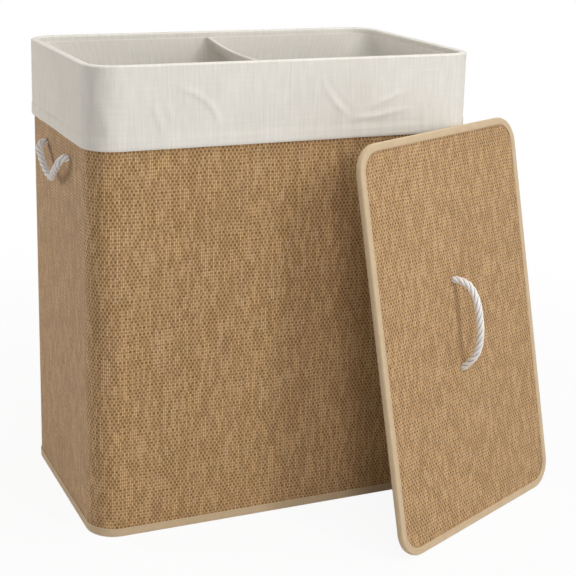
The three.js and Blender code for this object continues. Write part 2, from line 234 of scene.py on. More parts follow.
print("Shaders: gloss", dull_gloss, "and sheen roughness", sheen_roughness)

# %% [markdown]
# ## The studio
#
# The photo has a white floor that runs on into a white background, with hardly any shadow. It could be lit
# by a picture of a studio, but five soft lamps are easier to place and to trust. The key lamp falls on the
# front and the lid from the front right, and gives the lid's rope its shadow. The front lamp and the right
# lamp fill in, and the top lamp lights the cuff and the bags from above. The left lamp stands behind the
# left end and lights that end alone. The corner between front and end gets the least of all, and that dark
# band is what makes it look round.

# %% Lamps
studio_middle = Vector((0.05, -0.1, 0.33))
scene = bpy.context.scene


def lamp(name, azimuth, elevation, distance, size, watts, colour):
    """A soft lamp that faces the hamper. Azimuth is measured from the front, towards the right."""
    turn, rise = math.radians(azimuth), math.radians(elevation)
    way = Vector((math.sin(turn) * math.cos(rise), -math.cos(turn) * math.cos(rise), math.sin(rise)))
    data = bpy.data.lights.new(name, "AREA")
    data.shape = "RECTANGLE"
    data.size, data.size_y = size
    data.energy = watts
    data.color = colour
    made = bpy.data.objects.new(name, data)
    made.location = studio_middle + way * distance
    made.rotation_euler = way.to_track_quat("Z", "Y").to_euler()
    scene.collection.objects.link(made)


white_light = (1, 1, 1)
warm_light = (1, 0.94, 0.89)
lamp("key_lamp", 26, 35, 2.6, (0.4, 0.9), 16.5, white_light)
lamp("front_lamp", -9, 12, 2.6, (0.6, 0.9), 12.5, white_light)
lamp("right_lamp", 62, 20, 2.6, (0.6, 0.9), 8, white_light)
lamp("left_lamp", -135, 12, 2.6, (0.6, 0.9), 23.5, warm_light)
lamp("top_lamp", 10, 80, 2.4, (1.6, 1.6), 36, white_light)
scene.view_settings.view_transform = "Standard"

# %% [markdown]
# A floor that is bright enough to look white would throw its light back on the hamper and wash it out. So
# floor and background are white only for the rays that the camera, glossy and clear surfaces look along.
# All other rays meet a pale floor and a dim sky, which light the hamper gently from all round. Close to the
# hamper a small share of the pale floor shows, and that is what carries the soft shadow.

# %% Background and floor
sky_strength = 0.15
floor_grey = (0.8, 0.8, 0.8, 1)
floor_half_width = 15
near_white_share = 0.92
near_distance, far_distance = 0.4, 1.5


def white_where_seen(tree, shader, share):
    """Mixes plain white into a shader for the rays that the camera, glossy and clear surfaces look along."""
    path = add(tree, "LightPath")
    camera_ray, glossy_ray, clear_ray = (Value(tree, path.outputs[f"Is {kind} Ray"])
                                         for kind in ("Camera", "Glossy", "Transmission"))
    white = add(tree, "Emission", {"Color": (1, 1, 1, 1), "Strength": 1.0})
    seen_share = sums("MAXIMUM", sums("MAXIMUM", camera_ray, glossy_ray), clear_ray) * share
    return value_of(tree, "MixShader", {0: seen_share, 1: shader, 2: white.outputs[0]})


world = bpy.data.worlds.new("studio")
scene.world = world
world.use_nodes = True
sky = world.node_tree
surround = add(sky, "Background", {"Color": (1, 1, 1, 1), "Strength": sky_strength})
seen_sky = white_where_seen(sky, surround.outputs[0], 1.0)
sky.links.new(seen_sky.socket, sky.nodes["World Output"].inputs["Surface"])

floor_mesh = bpy.data.meshes.new("studio_floor")
floor_corners = [(x * floor_half_width, y * floor_half_width, 0)
                 for x, y in ((-1, -1), (1, -1), (1, 1), (-1, 1))]
floor_mesh.from_pydata(floor_corners, [], [(0, 1, 2, 3)])
studio_floor = bpy.data.objects.new("studio_floor", floor_mesh)
scene.collection.objects.link(studio_floor)

floor_white, floor_tree, floor_shader = new_material("studio_floor", 0.9)
floor_shader.inputs["Base Color"].default_value = floor_grey
floor_place = add(floor_tree, "TexCoord").outputs["Object"]
floor_distance = value_of(floor_tree, "VectorMath", {0: floor_place}, output="Value", operation="LENGTH")
far_share = eased(floor_distance, near_distance, far_distance) * (1 - near_white_share)
seen_floor = white_where_seen(floor_tree, floor_shader.outputs[0], far_share + near_white_share)
floor_tree.links.new(seen_floor.socket, floor_tree.nodes["Material Output"].inputs["Surface"])
floor_mesh.materials.append(floor_white)
print("Floor:", 2 * floor_half_width, "m wide, and white from", far_distance, "m away")

# %% [markdown]
# ## Places on the cloth
#
# A weave, a rib or a slub has to be as wide on every piece, so the materials need to know where they are on
# the cloth. Object coordinates would cut through the weave at an angle on the ends and on the leaning lid.
# So every piece of cloth, tape and rope below carries a map of its own, in metres: how far across the cloth
# a point is, and how far along it. Random clouds and dice are then read off at places on that map, which
# gives each strand its own colour.

# %% Cloth map, clouds and dice
CLOTH_MAP = "cloth"


def paired(across, along):
    """Two values as one place."""
    return value_of(across.tree, "CombineXYZ", {0: across, 1: along})


def cloth_place(tree, scale_across=1.0, scale_along=1.0):
    """The place on the cloth, in metres times the scales: across it, along it, and both as one place."""
    parts = add(tree, "SeparateXYZ", {0: add(tree, "UVMap", uv_map=CLOTH_MAP).outputs[0]})
    across = Value(tree, parts.outputs[0]) * scale_across
    along = Value(tree, parts.outputs[1]) * scale_along
    return across, along, paired(across, along)


def place_in_metres(tree):
    """The place on a piece that has no cloth map."""
    return value_of(tree, "TexCoord", output="Object")


def clouds(place, scale, detail=2.0, roughness=0.5):
    """Soft random clouds from 0 to 1, about one for each 1/scale."""
    inputs = {"Vector": place, "Scale": scale, "Detail": detail, "Roughness": roughness}
    return value_of(place.tree, "TexNoise", inputs)


def dice(place):
    """A random number from 0 to 1 for each whole place."""
    return value_of(place.tree, "TexWhiteNoise", {"Vector": place}, noise_dimensions="2D")


def dice_of_one(number):
    """A random number from 0 to 1 for each whole number."""
    return value_of(number.tree, "TexWhiteNoise", {"W": number}, noise_dimensions="1D")


print("Cloth map:", CLOTH_MAP)

# %% [markdown]
# ## The weave
#
# The skin is a plain weave. Straw-coloured strands run up the wall, 2.7 mm apart, and thin picks cross them
# every 4.5 mm. A strand passes over one pick and under the next, and its neighbours do the opposite, so the
# dark hollows where a strand dives make a checkerboard. The pattern could be an image, but straw is never
# that even. Here it is worked out from the place on the cloth: which strand, which pick, and how far from
# the middle of each.

# %% Counting strands and picks
strand_pitch = 2.7 * MM
pick_pitch = 4.5 * MM
strand_wander = 0.9
pick_wander = 1.1


def weave_count(tree):
    """The weave's coordinates, in strands across and in picks along, and what follows from them."""
    across, along, place = cloth_place(tree, 1 / strand_pitch, 1 / pick_pitch)
    across += centred(clouds(place, 0.11), strand_wander)
    along += centred(clouds(place, 0.07, 3.0), pick_wander)
    strand, pick = sums("FLOOR", across), sums("FLOOR", along)
    off_strand = sums("FRACT", across) - 0.5
    off_pick = sums("FRACT", along) - 0.5
    near_strand, near_pick = off_strand * off_strand, off_pick * off_pick
    return {"across": across, "along": along, "place": place, "strand": strand, "pick": pick,
            "off_strand": off_strand, "near_strand": near_strand, "near_pick": near_pick,
            "under": sums("FLOORED_MODULO", strand + pick, 2.0)}


print("Weave: a strand every", strand_pitch / MM, "mm and a pick every", pick_pitch / MM, "mm")

# %% [markdown]
# Split straw is bright where its hard outer side faces out, for a few picks at a time. So each strand is
# cut into dashes of about four picks, which begin at another height on every strand, and dice give each
# dash its tone. A few dashes are much brighter and get a painted highlight, a narrow light line along the
# strand's middle. Each strand also gets a painted highlight on its top where it passes over a pick. Wide
# clouds then add the slow drift from one batch of straw to the next.

# %% How bright each strand is
dash_picks = 3.6
base_tone = 0.4
# Shares of painted highlight on the strands' tops and along the bright dashes
top_highlight_share = 0.66
dash_highlight_share = 0.6


def bright_dashes(weave):
    """A random number for each dash, and how far that makes it a bright one."""
    shift = dice_of_one(weave["strand"]) * 9.0
    number = sums("FLOOR", weave["along"] / dash_picks + shift)
    drawn = dice(paired(weave["strand"], number))
    return drawn, eased(drawn, 0.5, 0.9)


def strand_tone(weave, drawn, bright, round_pick):
    """How light the straw is, from 0 to 1: by dash, by streak and by patch, plus painted highlights on the
    strand's tops and along the bright dashes.
    """
    streak = clouds(paired(weave["strand"] * 0.5, weave["along"] * 0.1), 1.0, 2.0, 0.6)
    patch = clouds(weave["place"], 0.03, 3.0, 0.6)
    tone = base_tone + centred(drawn, 0.2) + centred(streak, 0.3) + centred(patch, 0.2)
    # Painted highlight on the strand's top where it passes over a pick
    top = (1.0 - weave["under"]) * round_pick * eased(weave["near_strand"], 0.2, 0.0)
    # Painted highlight: a narrow light line along the middle of the bright dashes
    dash_highlight = bright * eased(weave["near_strand"], 0.13, 0.01)
    return tone + top * top_highlight_share + dash_highlight * dash_highlight_share


print("Dashes:", dash_picks, "picks long, about", round(dash_picks * pick_pitch / MM), "mm")

# %% [markdown]
# The hollows carry the pattern. Each is a spot of painted shade at the middle of a crossing where the
# strand is under, and now and then the dice let two of them join sideways. A pick also shows as a faint
# line of painted shade right across, stronger in some rows than in others, which gives the front its level
# ribs.

# %% Painted shade in hollows and rows
# How deep the painted shade in the hollows and along the picks goes
hollow_shade_base = 0.54
hollow_shade_spread = 0.18
row_shade_base = 0.14
row_shade_spread = 0.24


def painted_hollow_shade(weave, bright):
    """How much painted shade lies in the crossing's hollow, from 0 to 1."""
    drawn = dice(paired(weave["strand"], weave["pick"]))
    loose = eased(clouds(weave["place"], 0.21, 2.0, 0.5), 0.3, 0.48)
    across_wave = sums("COSINE", weave["off_strand"] * math.pi)
    beside = across_wave * (weave["under"] * 2.0 - 1.0) + eased(drawn, 0.6, 0.98) * 0.6
    hollow = eased(beside, -0.2, 0.7) * eased(weave["near_pick"], 0.13, 0.01)
    depth = (hollow_shade_base + drawn * hollow_shade_spread) * (1.0 - bright * 0.2) * (0.55 + loose * 0.45)
    return hollow * depth


def painted_row_shade(weave):
    """How much painted shade lies along the pick's line, from 0 to 1."""
    place = paired(weave["across"] * 0.24, weave["pick"] * 0.8)
    strong = eased(clouds(place, 1.0, 2.0, 0.5), 0.4, 0.62)
    return eased(weave["near_pick"], 0.09, 0.01) * (row_shade_base + strong * row_shade_spread)


print(f"Hollows: {hollow_shade_base:.0%} dark and up, rows: {row_shade_base:.0%} and up")

# %% [markdown]
# The colour is built like a painting, from the ground up: a deep straw that turns a little redder here and
# there, the light straw by tone with its painted highlights, painted shade in the gaps between strands, and
# last the painted shade of the hollows. The bump follows the same numbers, so each strand is a round ridge
# that dips where it dives. The straw has a dry, slightly waxy face, so its roughness is high but not the
# highest.

# %% Weave material
weave_relief = 0.5 * MM


def weave_material(name):
    made, tree, shader = new_material(name, 0.75, sheen=0.15)
    weave = weave_count(tree)
    round_pick = eased(weave["near_pick"], 0.2, 0.0)
    drawn, bright = bright_dashes(weave)
    hue = clouds(weave["place"], 0.11, 2.0, 0.5)
    deep = mixed(eased(hue, 0.4, 0.6), paint(147, 110, 62), paint(152, 112, 71))
    straw = mixed(strand_tone(weave, drawn, bright, round_pick), deep, straw_chip)
    # Painted shade in the gaps between strands, a brown line along each side of a strand
    straw = mixed(eased(weave["near_strand"], 0.12, 0.24) * 0.46, straw, paint(116, 76, 34))
    dark = sums("MAXIMUM", painted_hollow_shade(weave, bright), painted_row_shade(weave))
    # Painted shade in the hollows and along the picks, a deep brown
    coloured(shader, mixed(dark, straw, paint(78, 46, 8)))
    ridge = 1.0 - weave["near_strand"] * 3.4
    dive = weave["under"] * round_pick
    relief(shader, ridge * (1.0 - dive * 0.85), weave_relief, 0.7)
    return made


straw_weave = weave_material("straw_weave")
print("Straw weave:", len(straw_weave.node_tree.nodes), "nodes")

# %% [markdown]
# ## Liner cloth and lining
#
# The liner is an off-white cloth like linen, which has slubs: threads that thicken for a few centimetres.
# Clouds stretched far along one way and squeezed across the other look like slubs, and two sets of them at
# right angles look like cloth. The upright ones show more, as in the photo. The lining uses the same
# recipe, yellower and more even, because it is a plain cheap cloth.

# %% Linen
linen_relief = 0.14 * MM


def threads(cloth, across_count, along_count, detail=3.0):
    """Clouds stretched one way, about so many in a metre across the cloth and along it."""
    across, along, _ = cloth
    return clouds(paired(across * across_count, along * along_count), 1.0, detail, 0.6)


def linen_material(name, pale, deep, slub_share):
    made, tree, shader = new_material(name, 0.9, sheen=0.15)
    cloth = cloth_place(tree)
    upright = threads(cloth, 330, 22)
    level_threads = threads(cloth, 18, 480)
    patch = clouds(cloth[2], 17, 3.0)
    slubs = centred(upright, slub_share) + centred(level_threads, slub_share * 0.4)
    coloured(shader, mixed(0.5 + (slubs + centred(patch, 0.5)), deep, pale))
    fine = threads(cloth, 1900, 160) + threads(cloth, 160, 1900)
    relief(shader, upright + level_threads + fine * 0.4, linen_relief, 0.5)
    return made


liner_linen = linen_material("liner_linen", paint(238, 234, 226), paint(218, 213, 203), 1.3)
plain_lining = linen_material("plain_lining", paint(222, 213, 196), paint(198, 188, 168), 0.3)
print("Liner and lining: relief", linen_relief / MM, "mm")

# %% [markdown]
# ## Tape
#
# The edges are bound with woven cotton tape, which has fine ribs across its width, less than a millimetre
# apart. From a step away they only take the gloss off, so most of the look comes from soft wear in the
# colour.

# %% Tape
tape_rib_pitch = 0.9 * MM
tape_relief = 0.06 * MM


def tape_material(name, pale, deep):
    made, tree, shader = new_material(name, 0.85, sheen=0.2)
    across, _, place = cloth_place(tree)
    rib = sums("SINE", across * (math.tau / tape_rib_pitch))
    wear = clouds(place, 60, 4.0, 0.6)
    # The rib adds a little painted light on its crests and painted shade in its troughs; the wear is the
    # tape's own tone
    coloured(shader, mixed(0.5 + (centred(wear, 0.9) + rib * 0.06), deep, pale))
    relief(shader, rib + wear * 2.0, tape_relief, 0.6)
    return made


binding_tape = tape_material("binding_tape", paint(216, 193, 160), paint(194, 168, 134))
print("Tape: a rib every", tape_rib_pitch / MM, "mm")

# %% [markdown]
# ## Cotton rope
#
# The rope is laid from four strands, and each strand is spun from yarns. Strands and yarns are in the mesh,
# and still the grooves between them look too pale, because light bounces about in white cotton. So shade
# is painted into the grooves: a grey line between the yarns and a darker one between the strands. The
# rope's cloth map runs round it and turns with its lay, so a line at a fixed place round the rope follows a
# groove all the way.

# %% Rope
rope_radius = 5 * MM
rope_strands = 4
yarns_per_strand = 4
rope_relief = 0.2 * MM


def rope_material(name, rope_round):
    """Cotton with painted shade in the grooves between its strands and yarns."""
    made, tree, shader = new_material(name, 0.85, sheen=0.4)
    cloth = cloth_place(tree)
    fibres = threads(cloth, 2600, 240, 4.0)
    soiled = clouds(cloth[2], 90, 3.0)
    around = cloth[0] * (math.pi / rope_round)
    strand_shade_line = sums("ABSOLUTE", sums("COSINE", around * rope_strands))
    yarn_shade_line = sums("ABSOLUTE", sums("SINE", around * (rope_strands * yarns_per_strand)))
    tone = 0.55 + (centred(fibres, 0.8) + centred(soiled, 0.4))
    cotton = mixed(tone, paint(230, 225, 220), paint(252, 250, 248))
    # Painted shade in the grooves between the yarns, grey
    cotton = mixed(eased(yarn_shade_line, 0.5, 0.05) * 0.38, cotton, paint(150, 142, 138))
    # Painted shade in the deeper grooves between the strands, darker grey
    cotton = mixed(eased(strand_shade_line, 0.36, 0.06) * 0.85, cotton, paint(112, 103, 98))
    coloured(shader, cotton)
    relief(shader, fibres, rope_relief, 0.7)
    return made


cotton_rope = rope_material("cotton_rope", math.tau * rope_radius)
print("Rope:", rope_strands, "strands of", yarns_per_strand, "yarns, and", 2 * rope_radius / MM, "mm thick")

# %% [markdown]
# ## Thread, board and rods
#
# The stitches are small, so their thread needs no more than plies that are lighter and darker. Boards and
# rods are out of sight unless the liner is lifted, and each still has its finish. The board is pressed from
# chips of straw and paper. The rods are drawn steel, with long fine scratches. Both keep their solids,
# which have no cloth map, so these recipes read the place on the piece itself.

# %% Thread, board and steel
def thread_material(name, pale, deep):
    made, tree, shader = new_material(name, 0.7, sheen=0.2)
    plies = clouds(place_in_metres(tree), 1600, 3.0, 0.6)
    coloured(shader, mixed(plies, deep, pale))
    relief(shader, plies, 0.1 * MM, 0.6)
    return made


def board_material(name):
    made, tree, shader = new_material(name, 0.9)
    place = place_in_metres(tree)
    chips = clouds(place, 420, 5.0, 0.7)
    blotches = clouds(place, 14, 2.0)
    tone = 0.5 + (centred(chips, 1.2) + centred(blotches, 0.6))
    coloured(shader, mixed(tone, paint(158, 130, 96), paint(206, 182, 148)))
    relief(shader, chips, 0.2 * MM, 0.5)
    return made


def steel_material(name):
    made, tree, shader = new_material(name, 0.38)
    shader.inputs["Metallic"].default_value = 1.0
    stretched = value_of(tree, "Mapping", {"Vector": place_in_metres(tree), "Scale": (1500, 1500, 6)})
    scratches = clouds(stretched, 1.0, 3.0)
    coloured(shader, mixed(scratches, paint(146, 148, 150), paint(196, 198, 200)))
    relief(shader, scratches, 0.03 * MM, 0.5)
    return made


hem_thread = thread_material("hem_thread", paint(240, 235, 225), paint(212, 206, 194))
tape_thread = thread_material("tape_thread", paint(207, 181, 147), paint(176, 150, 116))
finishes = {"board": board_material("pressed_board"), "rod": steel_material("drawn_steel")}
kept_solids = ["wall_board", "base_board", "lid_board"]
kept_solids += [f"{corner}_rod" for corner in ("front_left", "front_right", "back_right", "back_left")]
for node in kept_solids:
    materials = frame["nodes"][node].data.materials
    materials.clear()
    materials.append(finishes[node.rsplit("_", 1)[1]])
print(len(kept_solids), "boards and rods keep their solids")

# %% [markdown]
# ## Meshes from grids
#
# Wall, cuff, tapes and bags are all the same kind of shape: a cross-section carried along a line. Blender
# can do that with a curve and a bevel, but a grid of points worked out in code gives something a bevel
# doesn't: every point knows how far along and how far across the cloth it is, in metres. Those two numbers
# are stored as the cloth map, so that a thread in the material is as wide on every piece.

# %% Grid meshes
crease_angle = math.radians(50)


def finished_mesh(name, mesh, material, sharp=crease_angle):
    """Fills a mesh's open ends, turns its faces outwards, smooths it and puts it in the scene."""
    edit = bmesh.new()
    edit.from_mesh(mesh)
    bmesh.ops.holes_fill(edit, edges=edit.edges[:], sides=0)
    bmesh.ops.recalc_face_normals(edit, faces=edit.faces[:])
    edit.to_mesh(mesh)
    edit.free()
    mesh.shade_smooth()
    mesh.set_sharp_from_angle(angle=sharp)
    mesh.materials.append(material)
    made = bpy.data.objects.new(name, mesh)
    scene.collection.objects.link(made)
    return made


def grid_piece(name, rows, across_at, along_at, material, ring_across=False, ring_along=False,
               sharp=crease_angle):
    """A mesh over a grid of points. A ring joins its last point to its first, and open ends are filled."""
    rows = np.asarray(rows, float)
    along_count, across_count = rows.shape[:2]
    j, i = np.meshgrid(np.arange(along_count - (not ring_along)), np.arange(across_count - (not ring_across)),
                       indexing="ij")
    j_next, i_next = (j + 1) % along_count, (i + 1) % across_count
    corners = ((j, i), (j, i_next), (j_next, i_next), (j_next, i))
    quads = np.stack([a * across_count + b for a, b in corners], -1).reshape(-1, 4)
    mesh = bpy.data.meshes.new(name)
    mesh.from_pydata(rows.reshape(-1, 3).tolist(), [], quads.tolist())
    across_at, along_at = np.asarray(across_at, float), np.asarray(along_at, float)
    places = [(across_at[i], along_at[j]), (across_at[i + 1], along_at[j]),
              (across_at[i + 1], along_at[j + 1]), (across_at[i], along_at[j + 1])]
    cloth = mesh.uv_layers.new(name=CLOTH_MAP)
    cloth.data.foreach_set("uv", np.stack([np.stack(p, -1) for p in places], -2).ravel())
    return finished_mesh(name, mesh, material, sharp)


print(f"Edges that bend more than {math.degrees(crease_angle):.0f} degrees stay crisp")

# %% [markdown]
# The cloth map needs the distance along a line of points, and a ring needs the way back to its first point
# as well. Each piece then gets the body that it rides on and the solids that it stands for.

# %% Lengths and the frame's labels
def lengths_along(points):
    """The distance along a line of points, from its first one."""
    steps = np.linalg.norm(np.diff(np.asarray(points, float), axis=0), axis=1)
    return np.concatenate([[0], np.cumsum(steps)])


def ring_lengths(points):
    """The same for a ring, with the way back to its first point."""
    points = np.asarray(points, float)
    return lengths_along(np.vstack([points, points[:1]]))


def dress(piece, body, nodes):
    """Lets a piece ride on a body and stand for the solids that it replaces."""
    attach(piece, body)
    if nodes:
        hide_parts(*nodes)
    print(f"{piece.name}: {len(piece.data.vertices)} points, rides on {body}")
    return piece


# %% [markdown]
# ## Walking round the hamper
#
# Seen from above the hamper is a rectangle with round corners. Wall, tapes and cuff all follow it, each a
# little further out or in. One walk round that outline gives for each distance a place and the way straight
# out, and a piece adds its own distance out and its height. The walk starts in the middle of the back,
# where a seam hides.

# %% The hamper's outline
wall_low, wall_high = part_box("woven_wall")
hamper_width = wall_high.x - wall_low.x
hamper_depth = wall_high.y - wall_low.y
corner_radius = 38 * MM
quarter = math.pi / 2


def way_round(width, depth, radius):
    return 2 * (width + depth) - 8 * radius + math.tau * radius


def outline(width, depth, radius, runs):
    """Places and ways out at given distances round a rounded rectangle, from the middle of its back."""
    runs = np.asarray(runs, float)
    across, along = width - 2 * radius, depth - 2 * radius
    straights = (width / 2 - radius, along, across, along, width / 2 - radius)
    at, out = np.zeros((len(runs), 2)), np.zeros((len(runs), 2))
    corner, heading, begun = np.array([0, depth / 2]), quarter, 0.0
    for straight in straights:
        way_out = np.array([math.cos(heading), math.sin(heading)])
        onward = np.array([-way_out[1], way_out[0]])
        here = runs >= begun
        at[here] = corner + np.outer(runs[here] - begun, onward)
        out[here] = way_out
        begun += straight
        centre = corner + onward * straight - way_out * radius
        here = runs > begun
        angle = heading + np.minimum((runs[here] - begun) / radius, quarter)
        out[here] = np.stack([np.cos(angle), np.sin(angle)], -1)
        at[here] = centre + out[here] * radius
        begun += radius * quarter
        heading += quarter
        corner = centre + radius * np.array([math.cos(heading), math.sin(heading)])
    return at, out


round_hamper = way_round(hamper_width, hamper_depth, corner_radius)
print(f"The hamper is {hamper_width / MM:.0f} by {hamper_depth / MM:.0f} mm")
print(f"The walk round it is {round_hamper / MM:.0f} mm long")

# %% [markdown]
# The walk needs most of its points in the corners, or they turn out angular. So it takes evenly spaced
# distances and adds some at each corner. The same helper serves the lid, whose outline is another rounded
# rectangle.

# %% Stops on the walk
def stops_round(width, depth, radius, even_count, corner_count):
    """Distances round a rounded rectangle: evenly spaced ones, and more of them in the corners."""
    corner_starts = np.cumsum([width / 2 - radius] + [radius * quarter + side - 2 * radius
                                                      for side in (depth, width, depth)])
    corner_stops = [start + radius * quarter * np.linspace(0, 1, corner_count) for start in corner_starts]
    even_stops = np.linspace(0, way_round(width, depth, radius), even_count + 1)[:-1]
    return np.unique(np.round(np.concatenate([even_stops, *corner_stops]), 6))


def wrapped(runs, profile, swell=None):
    """Carries a profile of (distance out, height) stops round the hamper; swell moves points further out."""
    at, out = outline(hamper_width, hamper_depth, corner_radius, runs)
    rows = []
    for stop, (reach, height) in enumerate(profile):
        more = swell(stop, runs, height) if swell else 0
        far = at + out * (np.zeros(len(runs)) + reach + more)[:, None]
        rows.append(np.column_stack([far, np.full(len(runs), height)]))
    return np.array(rows)


wall_runs = stops_round(hamper_width, hamper_depth, corner_radius, 160, 9)
closed_wall_runs = np.append(wall_runs, round_hamper)
print("The walk has", len(wall_runs), "stops")

# %% [markdown]
# ## The holes for the ropes
#
# The ropes run through round holes, which are cut right through the cloth, as in the real wall. A dark disc
# would look like a hole from the front only. A boolean cuts a real one, and it is applied at once, so that
# the piece holds its final mesh. Cutting leaves long thin faces, so the crisp edges are marked again
# afterwards.

# %% Drilling
def applied(piece):
    """Replaces a piece's mesh by the mesh that its modifiers give."""
    seen = piece.evaluated_get(bpy.context.evaluated_depsgraph_get())
    mesh = bpy.data.meshes.new_from_object(seen)
    piece.modifiers.clear()
    piece.data = mesh


def cylinder(name, radius, start, end, sides=24):
    """A plain cylinder between two points, which serves as a cutter."""
    way = end - start
    turn = way.to_track_quat("Z", "Y").to_matrix()
    ring = [turn @ Vector((math.cos(math.tau * s / sides), math.sin(math.tau * s / sides), 0)) * radius
            for s in range(sides)]
    mesh = bpy.data.meshes.new(name)
    quads = [(s, (s + 1) % sides, sides + (s + 1) % sides, sides + s) for s in range(sides)]
    mesh.from_pydata([start + r for r in ring] + [end + r for r in ring], [], quads)
    return finished_mesh(name, mesh, straw_weave)


def drilled(piece, radius, lines):
    """Cuts a round hole along each line, and keeps the cut edges crisp."""
    drills = [cylinder(f"drill_{n}", radius, start, end) for n, (start, end) in enumerate(lines)]
    for drill in drills:
        cut = piece.modifiers.new("hole", "BOOLEAN")
        cut.operation = "DIFFERENCE"
        cut.object = drill
    applied(piece)
    piece.data.set_sharp_from_angle(angle=crease_angle)
    for drill in drills:
        mesh = drill.data
        bpy.data.objects.remove(drill)
        bpy.data.meshes.remove(mesh)


knot_low, knot_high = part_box("left_front_knot")
hole_height = (knot_low.z + knot_high.z) / 2
hole_along = abs(knot_low.y + knot_high.y) / 2
hole_radius = 5.4 * MM
end_holes = [(Vector((-hamper_width, y, hole_height)), Vector((hamper_width, y, hole_height)))
             for y in (-hole_along, hole_along)]
print(f"Rope holes: {2 * hole_along / MM:.0f} mm apart at a height of {hole_height / MM:.0f} mm")

# %% [markdown]
# ## The woven wall and the lining behind it
#
# The skin is glued to the board, so it is as flat as the board and needs few points. It could be a box with
# rounded edges, but then the weave would have to be fitted to its sides one by one. As one wrapped sheet it
# has one map all round. The strands have to meet at the seam in the back, so the map counts them in whole
# pairs.

# %% Woven wall and wall lining
wall_thickness = 5 * MM
weave_thickness = 1.6 * MM
lining_thickness = 0.8 * MM
strand_pairs = round(round_hamper / (2 * strand_pitch))
wall_cloth_at = closed_wall_runs / round_hamper * strand_pairs * 2 * strand_pitch


def layer(name, node, outside, thickness, material):
    """One layer of the wall, between the heights of its solid."""
    low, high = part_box(node)
    outer_face = [(-outside, z) for z in np.linspace(low.z, high.z, 40)]
    inner_face = [(-outside - thickness, z) for z in np.linspace(high.z, low.z, 10)]
    profile = outer_face + inner_face
    piece = grid_piece(name, wrapped(wall_runs, profile), wall_cloth_at, ring_lengths(profile), material,
                       ring_across=True, ring_along=True)
    drilled(piece, hole_radius, end_holes)
    return dress(piece, "hamper", [node])


layer("woven_skin", "woven_wall", 0, weave_thickness, straw_weave)
layer("inner_lining", "wall_lining", wall_thickness - lining_thickness, lining_thickness, plain_lining)

# %% [markdown]
# ## Stitches
#
# A row of stitches holds each tape and the cuff's hem. Painted stitches disappear from the side, so they
# are meshes: small capsules in a row, each with a few rings, which lie on the surface and point along the
# seam. One mesh holds the whole row.

# %% Stitch rows
thread_thickness = 0.55 * MM
stitch_share = 0.72
stitch_sides = 6
stitch_rings = ((-0.5, 0.3), (-0.36, 0.9), (0.0, 1.0), (0.36, 0.9), (0.5, 0.3))
stitch_crease_angle = math.radians(80)
look_ahead = 0.5 * MM


def points_at(marks, run, points):
    """The points at given distances along a line."""
    return np.column_stack([np.interp(marks, run, points[:, k]) for k in range(3)])


def stitch_faces(stitches):
    """The faces of so many stitches, each a tube of rings with a cap at both ends."""
    count = len(stitch_rings) * stitch_sides
    one = [(k * stitch_sides + s, k * stitch_sides + (s + 1) % stitch_sides,
            (k + 1) * stitch_sides + (s + 1) % stitch_sides, (k + 1) * stitch_sides + s)
           for k in range(len(stitch_rings) - 1) for s in range(stitch_sides)]
    caps = [tuple(range(stitch_sides))[::-1], tuple(range(count - stitch_sides, count))]
    return [tuple(v + stitch * count for v in face) for stitch in range(stitches) for face in one + caps]


def stitch_row(name, points, outs, pitch, length, material):
    """A row of stitches along a line of points, each lying on the surface that faces out at that point."""
    points, outs = np.asarray(points, float), np.asarray(outs, float)
    run = lengths_along(points)
    middles = np.arange(pitch / 2, run[-1], pitch)
    place, out = points_at(middles, run, points), points_at(middles, run, outs)
    along = points_at(middles + look_ahead, run, points) - points_at(middles - look_ahead, run, points)
    along /= np.linalg.norm(along, axis=1)[:, None]
    side = np.cross(along, out)
    side /= np.linalg.norm(side, axis=1)[:, None]
    verts = []
    for far, wide in stitch_rings:
        for angle in math.tau * np.arange(stitch_sides) / stitch_sides:
            radial = side * math.cos(angle) + out * math.sin(angle)
            verts.append(place + along * far * length + radial * wide * thread_thickness / 2)
    mesh = bpy.data.meshes.new(name)
    mesh.from_pydata(np.stack(verts, 1).reshape(-1, 3).tolist(), [], stitch_faces(len(middles)))
    return finished_mesh(name, mesh, material, stitch_crease_angle)


def row_round_hamper(name, reach, height, pitch, material, body):
    """A stitch row all the way round the hamper, at a distance out and a height."""
    at, out = outline(hamper_width, hamper_depth, corner_radius, closed_wall_runs)
    points = np.column_stack([at + out * reach, np.full(len(at), height)])
    outs = np.column_stack([out, np.zeros(len(at))])
    return dress(stitch_row(name, points, outs, pitch, pitch * stitch_share, material), body, [])


print("Stitches:", len(stitch_rings), "rings of", stitch_sides, "points each")

# %% [markdown]
# ## Tapes over the raw edges
#
# A strip of tape is folded over the foot, over the rim and over the lid's edge. A rounded band would do
# from afar, but the tape stands a little proud of the weave, and its cut edge throws a thin shadow. So its
# cross-section is what it is on the real hamper, a narrow hairpin: one leg outside, a round nose, one leg
# inside.

# %% Folded tapes
touch_gap = 0.3 * MM
tape_thickness = 1 * MM
tape_nose = 1.4 * MM
tape_edge_round = 0.25 * MM
tape_stand = touch_gap + tape_thickness
stitch_inset = 2.2 * MM
tape_stitch_pitch = 4 * MM


def hairpin(edge_thickness, leg, leg_steps=6, nose_steps=8):
    """A folded tape's closed outline as (distance in from the nose, distance across from its middle)."""
    inner = edge_thickness / 2 + touch_gap
    outer = inner + tape_thickness
    leg_in = np.linspace(leg, tape_nose, leg_steps)
    near_edge = [(leg, outer - tape_edge_round * 2), (leg - tape_edge_round, outer - tape_edge_round / 2)]
    outside = near_edge + [(depth, outer) for depth in leg_in[1:-1]]
    nose = [(tape_nose * (1 - math.sin(a)), outer * math.cos(a))
            for a in np.linspace(0, math.pi, nose_steps + 1)]
    other_side = [(depth, -across) for depth, across in reversed(outside)]
    inside = [(leg, -inner), (tape_nose, -inner), (tape_nose, inner), (leg, inner)]
    return outside + nose + other_side + inside


